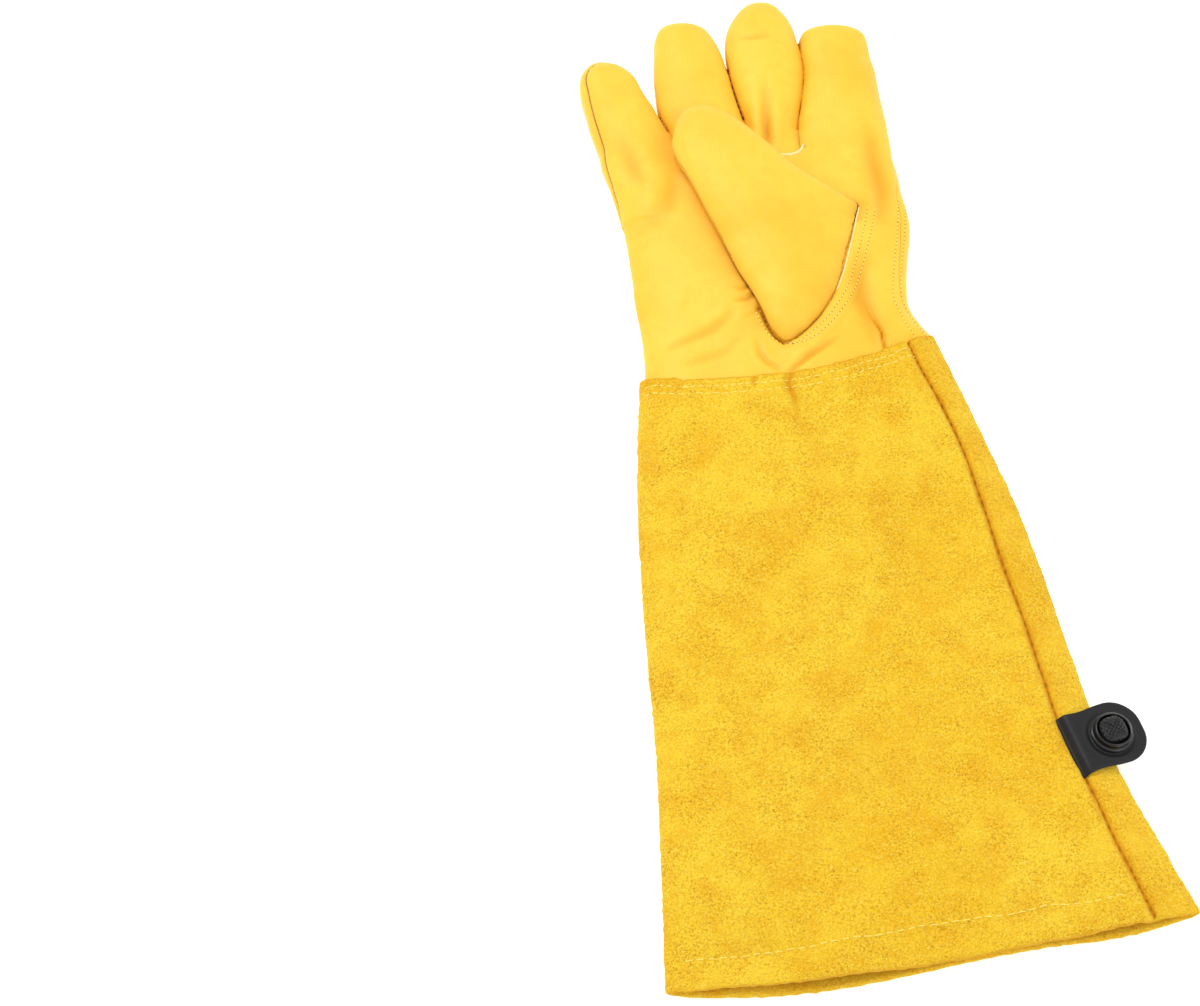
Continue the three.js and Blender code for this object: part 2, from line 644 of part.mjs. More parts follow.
// A point of the cuff's surface: c across the width and s up the height, both from -1 to 1.
function cuffPoint(section, c, s, inset) {
  const reach = (section.width / 2 - inset) * c;
  const ground = section.middle
    .clone()
    .addScaledVector(acrossCuff, reach)
    .addScaledVector(downCuff, section.bulge * (1 - c * c));
  const height = lerp(inset - pressedShare * section.top, section.top - inset, (s + 1) / 2);
  const dent = dentDepth(CUFF_DENTS, ground.x, ground.y, s, mouthWidth, cuffLength);
  return new THREE.Vector3(ground.x, ground.y, Math.max(height - dent, inset));
}

// Positions round the cuff from one side of its seam to the other.
function cuffRound(seam, gapShare) {
  const { end, face, topSteps, sideSteps, bottomSteps } = CUFF_SHAPE;
  const round = [];
  const top = (c) => round.push({ c, s: ovalHeight(c, end, face) });
  for (let k = 0; k < topSteps; k += 1) {
    top(lerp(seam - gapShare, -1, crowded(k / topSteps, cuffEvenShare)));
  }
  for (let k = 0; k < bottomSteps; k += 1) {
    const c = crowded((2 * k) / bottomSteps - 1, cuffEvenShare);
    round.push({ c, s: -ovalHeight(c, end, face) });
  }
  for (let k = 0; k <= sideSteps; k += 1) {
    top(lerp(1, seam + gapShare, (k / sideSteps) ** sideCrowding));
  }
  return round;
}

// The wrapped suede. Its hem is folded in, so the wall is double there.
function cuffSolid() {
  const hemStart = 1 - hemWidth / cuffLength;
  const step = seamGap / cuffLength;
  const lip = cuffLipRound * suedeWall;
  const stations = [];
  for (let k = 0; k < CUFF_SECTIONS; k += 1) {
    stations.push({ along: (hemStart * k) / CUFF_SECTIONS, outer: 0, inner: suedeWall });
  }
  stations.push({ along: hemStart - step, outer: 0, inner: suedeWall });
  stations.push({ along: hemStart, outer: 0, inner: 2 * suedeWall });
  stations.push({ along: 1 - lip / cuffLength, outer: 0, inner: 2 * suedeWall });
  stations.push({ along: 1, outer: lip, inner: 2 * suedeWall - lip });
  const points = [];
  for (const { along, outer, inner } of stations) {
    const section = cuffSection(along);
    const round = cuffRound(section.seam, cuffSeamGap / section.width);
    points.push(...round.map(({ c, s }) => cuffPoint(section, c, s, outer)));
    points.push(...round.map(({ c, s }) => cuffPoint(section, c, s, inner)).reverse());
  }
  const count = points.length / stations.length;
  const index = [];
  for (let r = 0; r + 1 < stations.length; r += 1) {
    for (let k = 0; k < count; k += 1) {
      const a = r * count + k;
      const b = r * count + ((k + 1) % count);
      index.push(a, b, b + count, a, b + count, a + count);
    }
  }
  const lastRing = (stations.length - 1) * count;
  for (let k = 0; k + 1 < count / 2; k += 1) {
    const across = count - 1 - k;
    index.push(k, across, k + 1, k + 1, across, across - 1);
    index.push(lastRing + k, lastRing + k + 1, lastRing + across);
    index.push(lastRing + k + 1, lastRing + across - 1, lastRing + across);
  }
  return closedSolid(points, index);
}

// Tab and button

// A point of the cuff's upper surface, at a distance out from its seam.
function besideSeam(along, out) {
  const section = cuffSection(along);
  const c = clamp(section.seam + (2 * out) / section.width, -1, 1);
  return cuffPoint(section, c, ovalHeight(c, CUFF_SHAPE.end, CUFF_SHAPE.face), 0);
}

const tabSeam = besideSeam(tabAlongCuff, 0);
const seamAhead = besideSeam(tabAlongCuff + tabWidth / cuffLength, 0);
const tabTurn = Math.atan2(seamAhead.y - tabSeam.y, seamAhead.x - tabSeam.x) + Math.PI / 2;

// Height of the middle of the tab's thickness. It slopes down, and clears the highest place of the cuff under it.
const tabStart = [0, 0.1, 0.2, 0.3, 0.4, 0.5].reduce((start, share) => {
  const out = share * tabLength;
  return Math.max(start, besideSeam(tabAlongCuff, out).z + seamGap + tabThickness / 2 + tabDroop * out);
}, 0);
function tabRun(out) {
  return tabStart - tabDroop * out;
}

function tabSolid(grow) {
  const tabBend = tabThickness; // middle radius of the bend where the tab comes out of the seam
  const line = [{ out: 0, z: tabSeam.z - tabRoot - grow }];
  for (const turn of [0, 0.25, 0.5, 0.75, 1]) {
    const angle = (turn * Math.PI) / 2;
    const bendTop = tabRun(tabBend);
    line.push({ out: tabBend * (1 - Math.cos(angle)), z: bendTop - tabBend * (1 - Math.sin(angle)) });
  }
  for (const share of [0.2, 0.35, 0.5]) {
    line.push({ out: share * tabLength, z: tabRun(share * tabLength) });
  }
  for (const turn of [0, 0.2, 0.4, 0.6, 0.8, 0.94, 1]) {
    const out = tabLength - tabCorner * (1 - Math.sin((turn * Math.PI) / 2)) + grow * turn;
    line.push({ out, z: tabRun(out) });
  }
  const half = tabWidth / 2;
  const rings = line.map(({ out, z }, k) => {
    const before = line[Math.max(k - 1, 0)];
    const after = line[Math.min(k + 1, line.length - 1)];
    const direction = new THREE.Vector2(after.out - before.out, after.z - before.z).normalize();
    const rise = (tabThickness / 2 + grow) * direction.x;
    const back = (tabThickness / 2 + grow) * direction.y;
    const past = clamp((out - (tabLength - tabCorner)) / tabCorner, 0, 1);
    const side = half + grow - tabCorner * (1 - Math.sqrt(1 - past * past));
    return [
      new THREE.Vector3(out - back, side, z + rise),
      new THREE.Vector3(out - back, -side, z + rise),
      new THREE.Vector3(out + back, -side, z - rise),
      new THREE.Vector3(out + back, side, z - rise),
    ];
  });
  return placedOnTab(loft(rings));
}

function placedOnTab(solid) {
  return solid.rotate([0, 0, THREE.MathUtils.radToDeg(tabTurn)]).translate([tabSeam.x, tabSeam.y, 0]);
}

// Pieces on the tab are made upright about the button's middle, with the tab's surface at height 0.
const buttonOut = buttonAlongTab * tabLength;
function placedAsButton(solid) {
  const slope = -Math.atan(tabDroop);
  const surface = tabRun(buttonOut) + tabThickness / 2 / Math.cos(slope) + seamGap;
  const leaned = solid.rotate([0, THREE.MathUtils.radToDeg(-slope), 0]);
  return placedOnTab(leaned.translate([buttonOut, 0, surface]));
}

function buttonSolid() {
  const bore = buttonBore / 2;
  const radius = buttonDiameter / 2;
  const rim = BUTTON_RIM.map(({ out, up }) => new THREE.Vector2(out * radius, up * buttonHeight));
  const foot = new THREE.Vector2(bore, 0);
  const profile = [foot, ...rim, new THREE.Vector2(bore, rim.at(-1).y), foot.clone()];
  return placedAsButton(solidFrom(new THREE.LatheGeometry(profile, buttonSides).rotateX(Math.PI / 2)));
}

// A short length of woven tape that comes up through the button, folds over and goes down again.
function tapeSolid() {
  const span = 0.5 * Math.sqrt((buttonBore - 2 * seamGap) ** 2 - tapeWidth ** 2) - tapeThickness / 2;
  const crown = tapeCrown * buttonHeight;
  const line = [{ x: -span, z: 0 }];
  for (const turn of [0, 0.25, 0.5, 0.75, 1]) {
    const angle = Math.PI * (1 - turn);
    line.push({ x: span * Math.cos(angle), z: crown - span + span * Math.sin(angle) });
  }
  line.push({ x: span, z: 0 });
  const half = tapeWidth / 2;
  const rings = line.map(({ x, z }, k) => {
    const before = line[Math.max(k - 1, 0)];
    const after = line[Math.min(k + 1, line.length - 1)];
    const way = new THREE.Vector2(after.x - before.x, after.z - before.z).setLength(tapeThickness / 2);
    return [
      new THREE.Vector3(x - way.y, half, z + way.x),
      new THREE.Vector3(x - way.y, -half, z + way.x),
      new THREE.Vector3(x + way.y, -half, z - way.x),
      new THREE.Vector3(x + way.y, half, z - way.x),
    ];
  });
  return placedAsButton(loft(rings));
}

// Piping: a round cord along points on the leather, trimmed to lie on it.
function weltSolid(points, under) {
  const curve = new THREE.CatmullRomCurve3(points);
  const radius = weltDiameter / 2;
  const round = new THREE.Shape().absarc(0, 0, radius, 0, 2 * Math.PI);
  const geometry = new THREE.ExtrudeGeometry(round, { steps: 8, extrudePath: curve, curveSegments: 3 });
  return solidFrom(geometry).subtract(under);
}

// Height of the hand's upper surface at a place, found on the solid itself.
function topOf(solid, x, y) {
  const half = seamGap;
  const square = [
    { x: x - half, y: y - half },
    { x: x + half, y: y - half },
    { x: x + half, y: y + half },
    { x: x - half, y: y + half },
  ];
  return solid.intersect(prism(square, farBelow, farAbove)).boundingBox().max[2];
}

// Assembly

const hand = handSolid(0);
const handClear = handSolid(seamGap);
const handShell = hand.subtract(handSolid(-leatherWall, true));
const lowerHand = underSideSeam(-seamGap / 2);
const lowerHandClear = underSideSeam(seamGap / 2);
const backPanel = handShell.intersect(lowerHand);
const frontShell = handShell.subtract(lowerHandClear);

const throat = throatSolid();
const fingerFronts = frontShell.intersect(prism(frontsOutline(0), farBelow, farAbove));
const ringFront = fingerFronts.intersect(ringSide(-seamGap / 2));
const middleFront = fingerFronts.subtract(ringSide(seamGap / 2));
const palmPanel = frontShell.subtract(prism(frontsOutline(seamGap), farBelow, farAbove)).subtract(throat);

const thumb = thumbSolid(0).subtract(handClear);
const thumbHollow = thumbSolid(-leatherWall).subtract(handSolid(seamGap + leatherWall));
const thumbShell = thumb.subtract(thumbHollow).subtract(throat);
function underThumbSeam(offset, grow) {
  const level = (x, y) => {
    const local = new THREE.Vector3(x, y, 0).applyMatrix4(thumbFrame.clone().invert());
    return columnAt(THUMB, 'level', local.y / thumbLength) * palmThickness + offset;
  };
  const start = throatEnd - grow / thumbLength;
  const region = prism(thumbOutline(start, pastTip, 4 * leatherWall), farBelow, farAbove);
  return groundUnder(level, handReach.x, handReach.y, farBelow).intersect(region);
}
const thumbBack = thumbShell.intersect(underThumbSeam(-seamGap / 2, 0));
const thumbFront = thumbShell.subtract(underThumbSeam(seamGap / 2, seamGap));

function seatedOnHand(place) {
  return place.setZ(topOf(hand, place.x, place.y) + weltSeat * weltDiameter);
}
const footLine = FINGER_FEET.slice(FINGER_WELT_START).map(({ x, y }) =>
  seatedOnHand(new THREE.Vector3(footWeltShare * x * palmWidth, y * handLength, 0)),
);
const fingerWelt = weltSolid(footLine, handClear);

const thumbEdge = THUMB_WELT_ALONG.map((along) => {
  const out = columnAt(THUMB, 'right', along) * thumbWidth + weltDiameter / 2 + seamGap;
  return seatedOnHand(thumbPoint(along * thumbLength, out, 0));
});
const thumbWelt = weltSolid(thumbEdge, joined([handClear, thumbSolid(seamGap)]));

const tab = tabSolid(0);
const cuff = cuffSolid().subtract(tabSolid(seamGap)).subtract(handClear);

// Materials

function material(color, roughness) {
  return new THREE.MeshStandardMaterial({ color, roughness, metalness: 0 });
}
const grainLeather = material('#ffd84a', 0.55);
const suede = material('#f4b92a', 0.95);
const creamEdge = material('#f6edd2', 0.8);
const blackLeather = material('#222326', 0.5);
const blackPlastic = material('#0e0e10', 0.25);
const blackTape = material('#17171a', 0.85);

const PIECES = [
  ['back_panel', backPanel, grainLeather],
  ['palm_panel', palmPanel, grainLeather],
  ['ring_finger_front', ringFront, grainLeather],
  ['middle_finger_front', middleFront, grainLeather],
  ['thumb_front', thumbFront, grainLeather],
  ['thumb_back', thumbBack, grainLeather],
  ['finger_welt', fingerWelt, creamEdge],
  ['thumb_welt', thumbWelt, creamEdge],
  ['cuff', cuff, suede],
  ['tab', tab, blackLeather],
  ['button', buttonSolid(), blackPlastic],
  ['button_tape', tapeSolid(), blackTape],
];

function geometryOf(solid) {
  const { vertProperties, triVerts } = solid.getMesh();
  const geometry = new THREE.BufferGeometry();
  geometry.setAttribute('position', new THREE.BufferAttribute(vertProperties, 3));
  geometry.setIndex(new THREE.BufferAttribute(triVerts, 1));
  return geometry;
}

// A solid without edges shorter than a thousandth of a millimetre, which the cuts leave behind.
function tidied(solid) {
  const geometry = mergeVertices(geometryOf(mainBody(solid)), 1e-3);
  const vertProperties = geometry.getAttribute('position').array;
  const triVerts = new Uint32Array(geometry.getIndex().array);
  return mainBody(new wasm.Manifold(new wasm.Mesh({ numProp: 3, vertProperties, triVerts })));
}

// The origin is on the ground, under the middle of the whole.
const reach = new THREE.Box3();
for (const [, solid] of PIECES) {
  const { min, max } = solid.boundingBox();
  reach.expandByPoint(new THREE.Vector3(...min)).expandByPoint(new THREE.Vector3(...max));
}
const origin = reach.getCenter(new THREE.Vector3()).setZ(reach.min.z);

const gauntlet = new THREE.Group();
gauntlet.name = 'rose_pruning_gauntlet';
for (const [name, solid, finish] of PIECES) {
  const geometry = geometryOf(tidied(solid.translate([-origin.x, -origin.y, -origin.z])));
  geometry.computeVertexNormals();
  const mesh = new THREE.Mesh(geometry, finish);
  mesh.name = name;
  gauntlet.add(mesh);
}

export default gauntlet;
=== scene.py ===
import math
from collections import namedtuple
from itertools import product

import bpy
import numpy as np
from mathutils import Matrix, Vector
from mathutils.bvhtree import BVHTree


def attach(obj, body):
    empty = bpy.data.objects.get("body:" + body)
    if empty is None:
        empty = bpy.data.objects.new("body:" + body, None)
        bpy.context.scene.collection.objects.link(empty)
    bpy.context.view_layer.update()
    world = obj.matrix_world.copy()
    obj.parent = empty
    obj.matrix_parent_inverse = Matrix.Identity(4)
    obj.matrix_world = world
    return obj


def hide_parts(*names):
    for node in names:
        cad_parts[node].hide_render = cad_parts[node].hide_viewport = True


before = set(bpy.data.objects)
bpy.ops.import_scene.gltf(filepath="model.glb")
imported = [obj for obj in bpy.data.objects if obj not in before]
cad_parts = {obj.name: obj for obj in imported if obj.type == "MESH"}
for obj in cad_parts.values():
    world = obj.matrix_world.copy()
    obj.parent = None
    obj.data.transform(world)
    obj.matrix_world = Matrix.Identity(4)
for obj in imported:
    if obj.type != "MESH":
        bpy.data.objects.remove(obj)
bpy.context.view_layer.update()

MM = 0.001
ORIGIN = np.array([-39.107, 40.964, 0.0])  # the shapes' zero point in the model's frame

# Sizes
LEATHER_WALL = 1.3
SUEDE_WALL = 1.8
SEAM_GAP = 0.1  # how far a panel's rim stands back from its seam
HAND_GRID = 0.9
THUMB_GRID = 0.8
ON_FLOOR = 0.05  # the lowest height of the panels
CUFF_LENGTH = 284.0
HEM = 14.0
HEM_LIP = 1.9
STITCH_ROWS = (3.8, 7.6, CUFF_LENGTH - HEM + 1.5)  # the cuff's rows, down from its upper edge
CUFF_TILT = math.radians(10.3)
ACROSS = np.array([math.cos(CUFF_TILT), math.sin(CUFF_TILT)])
DOWN = np.array([math.sin(CUFF_TILT), -math.cos(CUFF_TILT)])
CUFF_LEFT_Y = -2.0
WRIST_X = -58.7
TUCK = 12.0  # how far the hand reaches into the cuff
PRESSED = 0.04  # how much of the cuff's section is cut flat by the floor, as a share of its height


def table(columns, rows):
    """Rows of numbers under named columns."""
    return {name: np.array([row[k] for row in rows], float) for k, name in enumerate(columns.split())}


def read(rows, column, at):
    """A table's column on a smooth curve through its rows. The first column says where."""
    xs = next(iter(rows.values()))
    ys = rows[column]
    inner = (ys[2:] - ys[:-2]) / (xs[2:] - xs[:-2])
    ends = np.diff(ys)[[0, -1]] / np.diff(xs)[[0, -1]]
    slopes = np.concatenate([ends[:1], inner, ends[1:]])
    at = np.asarray(at, float)
    i = np.clip(np.searchsorted(xs, at) - 1, 0, len(xs) - 2)
    span = xs[i + 1] - xs[i]
    t = np.clip((at - xs[i]) / span, 0, 1)
    start = (2 * t**3 - 3 * t**2 + 1) * ys[i] + (t**3 - 2 * t**2 + t) * slopes[i] * span
    end = (3 * t**2 - 2 * t**3) * ys[i + 1] + (t**3 - t**2) * slopes[i + 1] * span
    return start + end


# Hand: edges and heights at distances y up from the cuff
PALM = table("y left right low top", [
    (-30, -57.5, 66.0, 1.8, 22.8),
    (0, -58.3, 67.0, 1.8, 23.3),
    (12, -58.8, 68.0, 1.6, 23.4),
    (21, -59.6, 68.6, 0.8, 23.5),
    (27, -60.6, 64.4, 0.0, 23.7),
    (36, -62.1, 59.6, 0.0, 24.5),
    (50, -63.4, 58.6, 0.0, 25.5),
    (65, -65.4, 60.0, 0.0, 26.0),
    (82, -67.8, 61.2, 0.0, 25.8),
    (98, -71.4, 57.4, 0.0, 24.4),
    (110, -74.0, 54.8, 0.0, 22.4),
    (122, -75.8, 51.4, 0.4, 19.0),
    (134, -74.5, 48.0, 1.5, 15.5),
])
PINKY = table("y left right low top", [
    (84, -65.0, -36.0, 0.4, 20.0),
    (100, -70.2, -40.0, 0.0, 20.6),
    (112, -75.6, -42.0, 0.0, 20.9),
    (129, -81.2, -45.5, 0.0, 20.6),
    (144, -85.4, -52.4, 0.2, 20.0),
    (156, -87.2, -58.8, 1.0, 19.0),
    (173, -87.6, -63.6, 2.5, 17.6),
])
RING = table("y left right low top", [
    (84, -36.0, -14.0, 0.4, 20.0),
    (112, -41.4, -12.6, 0.0, 21.0),
    (129, -45.0, -9.8, 0.0, 20.9),
    (141, -50.4, -13.0, 0.0, 20.6),
    (151, -51.8, -15.8, 0.2, 20.2),
    (171, -53.0, -20.2, 1.2, 19.2),
    (183, -52.6, -24.0, 2.0, 18.4),
    (194, -52.0, -27.4, 2.9, 17.6),
])
MIDDLE = table("y left right low top", [
    (84, -13.0, 12.3, 0.4, 20.0),
    (112, -12.4, 12.4, 0.0, 20.9),
    (127, -9.4, 11.9, 0.0, 20.7),
    (137, -11.4, 11.9, 0.0, 20.5),
    (154, -15.9, 14.6, 0.2, 20.5),
    (165, -18.4, 15.7, 0.6, 20.1),
    (177, -20.0, 14.7, 1.4, 19.5),
    (188, -20.0, 12.6, 2.3, 18.6),
    (207.5, -16.0, 9.4, 3.5, 17.4),
])
INDEX = table("y left right low top", [
    (84, 13.0, 56.0, 0.4, 20.0),
    (112, 13.0, 54.4, 0.0, 20.9),
    (121, 12.6, 54.5, 0.0, 20.9),
    (137, 12.5, 53.0, 0.0, 20.6),
    (146, 13.8, 51.9, 0.0, 20.5),
    (165, 15.6, 49.3, 0.4, 19.9),
    (177, 14.6, 47.0, 1.0, 19.1),
    (192.5, 13.6, 45.0, 2.1, 18.0),
])
# Each finger's rounded tip: its length and how square it is
FINGERS = [(PINKY, 14.6, 2.2), (RING, 13.5, 3.3), (MIDDLE, 21.0, 2.15), (INDEX, 11.0, 3.4)]
FINGER_SECTION = (2.3, 2.1)
PALM_SECTION = (3.2, 2.2)
PALM_TIP = 22.0
WEB_BLEND = 7.0
FINGER_BLEND = 0.7

# Height of the seam between back and front of the hand
SIDE_SEAM = table("y left middle right", [
    (-41, 12.0, 10.9, 13.0),
    (20, 12.0, 10.9, 15.6),
    (45, 13.0, 10.9, 19.0),
    (69, 15.9, 10.9, 19.8),
    (90, 17.2, 10.9, 19.5),
    (106, 17.4, 10.9, 15.6),
    (124, 17.2, 10.9, 12.0),
    (151, 16.4, 10.9, 11.2),
    (172, 14.5, 10.9, 10.9),
    (224, 12.5, 10.9, 10.9),
])
# Between these places the seam's height goes over from an edge's to the middle's
SIDE_SEAM_REACH = {"left": -86.5, "left_in": -52.4, "right_in": 35.4, "right": 60.3}
# The seam across the feet of the ring and middle fingers
FINGER_FEET = table("x y", [
    (-42, 111), (-26, 111), (-12, 112.6), (1, 113.4), (8, 114), (12, 116.4), (14, 120.4),
])
FEET_SPAN = (-42, 15)
FINGERS_FRONT = 12.0  # the fingers' fronts lie above this height
PALM_FRONT = 15.0  # and the palm's front above this one
FLAT_SEAM_X = 30.0  # right of this place the side seam is pressed flat
AWAY = 9.0  # so far from a seam that it casts no darkness

# Thumb, folded over the palm: edges, height of its side seam and swell over it, along its own line
THUMB = table("y left right level swell", [
    (5, -5.6, -1.5, 24.0, 0.9),
    (8.5, -7.6, 6.4, 24.5, 2.8),
    (14, -8.9, 16.0, 25.2, 4.4),
    (24, -9.2, 27.4, 26.3, 6.0),
    (42, -11.9, 40.4, 27.4, 7.4),
    (54, -13.0, 48.0, 28.0, 7.8),
    (60, -13.4, 51.4, 28.4, 8.0),
    (64, -13.6, 48.0, 29.0, 8.0),
    (70, -14.0, 42.6, 29.6, 8.2),
    (84, -15.0, 32.2, 30.4, 8.3),
    (97, -15.8, 26.8, 29.9, 8.2),
    (113, -16.4, 20.6, 28.8, 7.8),
    (134, -13.2, 14.2, 27.2, 7.0),
])
THUMB_BASE = np.array([9.96, 10.0])
THUMB_LEAN = math.radians(20.4)
THUMB_TIP = (20.0, 2.0)
THUMB_SECTION = (2.4, 2.0)
THUMB_SEAM_DROP = 4.2
FOOT_ACROSS = (4, 42)  # the drop grows between these places across the thumb
FOOT_ALONG = (54, 76)  # and ends between these places along it
THROAT_START = 4.0
THROAT_END = 52.0
THROAT_RIM = 4.0

# Cuff: distance down from its upper edge, left edge, width, distance of the seam from the right edge, height
CUFF = table("down left width seam top", [
    (0, -60.8, 132.9, 14.2, 24.3),
    (14, -61.2, 138.4, 13.8, 23.3),
    (34, -61.7, 146.5, 12.5, 21.4),
    (57, -61.9, 155.0, 12.5, 20.1),
    (85, -61.0, 163.9, 14.8, 19.0),
    (114, -59.5, 171.0, 17.0, 18.3),
    (142, -57.5, 176.0, 16.0, 17.7),
    (170, -55.3, 180.6, 16.0, 17.3),
    (199, -53.9, 187.3, 17.1, 17.0),
    (227, -53.3, 197.3, 16.3, 16.4),
    (256, -52.6, 209.8, 18.7, 14.8),
    (284, -52.0, 222.4, 20.1, 12.0),
])
# How far each layer hangs past the mouth's line, at shares across from the left
MOUTH = table("share upper lower", [
    (0.0, 2.0, 2.0),
    (0.1, 1.6, 3.0),
    (0.25, 1.6, 3.8),
    (0.4, 1.6, 2.4),
    (0.55, 1.6, 0.4),
    (0.7, 2.2, 0.8),
    (0.85, 3.4, 4.6),
    (1.0, 6.0, 6.0),
])
# How far the hem's stitches wander down from their line
HEM_ROW = table("share lower", [
    (0, 0), (0.2, -0.8), (0.4, -2), (0.57, -3.2), (0.65, -1.7), (0.72, -1.9), (0.8, -0.2), (1, 0.2),
])
CUFF_BULGE = (13.1, 8.0)  # how far its middle hangs past its edges, at the top and at the mouth
CUFF_END = 5.0  # how square the section is at its ends
CUFF_FACE = 2.0
CUFF_SEAM = 0.8  # the seam's place among the mesh's columns
CUFF_HALF = (85.0, 9.0)  # half of a usual section, across and up
OUTER = 0.5  # points with less inset than this lie on the outside
INNER = 0.9  # and those with more lie inside

# Creases and soft hollows of the upper layers. Each has a width, a depth, how much painted shade it gets,
# the share of its length at which it is deepest, and the line that it follows.
Crease = namedtuple("Crease", "width depth shade peak line")
HAND_CREASES = [
    Crease(5.0, 1.6, 0.45, 0.5, [(40, 62), (37, 50), (38, 36), (43, 22), (46, 10)]),
    Crease(0.9, 1.5, 0.75, 0.6, [(39, 38), (42, 29), (46, 20), (47, 12), (49, 4)]),
    Crease(1.4, 1.1, 0.5, 0.4, [(4, -4), (8, 1), (14, 6), (22, 12), (28, 16)]),
    Crease(1.4, 1.0, 0.35, 0.6, [(-9, 16), (-8, 8), (-5, 3), (2, -2)]),
    Crease(2.2, 0.9, 0.3, 0.5, [(-50, 11), (-40, 15), (-29, 20), (-22, 26), (-18, 32)]),
    Crease(1.8, 0.6, 0.2, 0.5, [(-42, 2), (-32, 5), (-22, 9), (-16, 16)]),
    Crease(5.0, 1.4, 0.28, 0.7, [(-66, 71), (-56, 76), (-47, 87), (-43, 104)]),
    Crease(4.0, 1.1, 0.3, 0.6, [(-72, 128), (-65, 114), (-62, 104), (-58, 96)]),
    Crease(2.6, 2.4, 0.62, 0.8, [(-4, 170), (-2.5, 150), (-3, 132), (-2, 118)]),
    Crease(1.4, 0.5, 0.25, 0.5, [(-15, 183), (-8, 182), (1, 183)]),
    Crease(5.0, 1.5, 0.42, 0.5, [(43, 134), (46, 110), (49, 94), (47, 72)]),
    Crease(1.3, 0.8, 0.7, 0.2, [(-9, 38), (-13, 35), (-20, 34)]),
    Crease(1.2, 0.7, 0.6, 0.2, [(-11, 42), (-15, 40), (-20, 41)]),
    Crease(1.2, 0.6, 0.4, 0.2, [(-7, 32), (-10, 28), (-16, 25)]),
]
CUFF_CREASES = [
    Crease(1.6, 1.4, 0.5, 0.3, [(7, -1), (4, -8), (6, -14), (9, -26)]),
    Crease(1.2, 0.8, 0.4, 0.5, [(-11, -3), (-11.4, -11)]),
    Crease(7.0, 0.9, 0.08, 0.4, [(8, -16), (14, -34), (18, -60)]),
    Crease(14.0, 0.9, 0.05, 0.5, [(5, -60), (-4, -90), (0, -130)]),
    Crease(18.0, 1.0, 0.05, 0.5, [(-20, -150), (40, -190), (90, -200)]),
    Crease(16.0, 0.8, 0.05, 0.5, [(50, -40), (66, -120)]),
]


# Shapes as fields: numbers below zero lie inside
def smooth_step(value, low, high):
    t = np.clip((value - low) / (high - low), 0, 1)
    return t * t * (3 - 2 * t)


def smooth_min(a, b, reach):
    near = np.maximum(reach - np.abs(a - b), 0) / reach
    return np.minimum(a, b) - near * near * reach / 4


def oval_distance(c, s, half, high, section):
    """Rough distance to a flat oval, from the shares c of its half width and s of its half height."""
    end, face = section
    mean = (end + face) / 2
    size = np.maximum(c**end + s**face, 1e-3) ** (1 / mean)
    slope = size ** (1 - mean) / mean * np.hypot(end * c ** (end - 1) / half, face * s ** (face - 1) / high)
    return (size - 1) / np.maximum(slope, 0.02)


def tip_share(y, rows, tip, blunt):
    """Share of its section that a finger keeps where its end is rounded."""
    past = np.clip((y - (rows["y"][-1] - tip)) / tip, 0, 0.999)
    return (1 - past**blunt) ** (1 / blunt)


def tube_field(x, y, z, rows, tip, blunt, section):
    share = tip_share(y, rows, tip, blunt)
    left, right, low, top = (read(rows, name, y) for name in ("left", "right", "low", "top"))
    half = (right - left) / 2 * share
    high = (top - low) / 2 * share
    across = np.abs(x - (left + right) / 2) / half
    up = np.abs(z - (top + low) / 2) / high
    field = oval_distance(across, up, half, high, section)
    return np.maximum(np.maximum(field, y - rows["y"][-1]), rows["y"][0] - y)


def hand_field(x, y, z):
    fingers = None
    for rows, tip, blunt in FINGERS:
        finger = tube_field(x, y, z, rows, tip, blunt, FINGER_SECTION)
        fingers = finger if fingers is None else smooth_min(fingers, finger, FINGER_BLEND)
    palm = tube_field(x, y, z, PALM, PALM_TIP, 2.0, PALM_SECTION)
    both = smooth_min(palm, fingers, WEB_BLEND)
    return -smooth_min(-both, z, 1.5)


def thumb_place(x, y):
    """A point's place across and along the thumb."""
    dx = x - THUMB_BASE[0]
    dy = y - THUMB_BASE[1]
    cos, sin = math.cos(THUMB_LEAN), math.sin(THUMB_LEAN)
    return dx * cos + dy * sin, dy * cos - dx * sin


def thumb_edge(side, along):
    """Places on the ground under an edge of the thumb."""
    across = read(THUMB, side, along)
    cos, sin = math.cos(THUMB_LEAN), math.sin(THUMB_LEAN)
    return THUMB_BASE + np.stack([across * cos - along * sin, across * sin + along * cos], -1)


def thumb_level(across, along):
    """Height of the thumb's side seam. It drops towards the palm where the foot is sewn on."""
    sewn = smooth_step(across, *FOOT_ACROSS) * (1 - smooth_step(along, *FOOT_ALONG))
    return read(THUMB, "level", along) - THUMB_SEAM_DROP * sewn


def over_thumb_seam(x, y, z):
    return z - thumb_level(*thumb_place(x, y))


# The seam round the thumb's foot and the slit beside it
THUMB_SEAM = thumb_edge("right", np.linspace(60, 5.5, 16))
THUMB_SLIT = thumb_edge("left", np.linspace(5.5, 25, 7))
THUMB_FOOT = np.concatenate([THUMB_SEAM, THUMB_SLIT])


def thumb_tube(x, y, z):
    across, along = thumb_place(x, y)
    share = tip_share(along, THUMB, *THUMB_TIP)
    left, right, swell = (read(THUMB, name, along) for name in ("left", "right", "swell"))
    half = (right - left) / 2 * share
    high = np.maximum(swell, 0.8) * share
    c = np.abs(across - (left + right) / 2) / half
    field = oval_distance(c, np.abs(z - thumb_level(across, along)) / high, half, high, THUMB_SECTION)
    return np.maximum(np.maximum(field, along - THUMB["y"][-1]), THUMB["y"][0] - along)


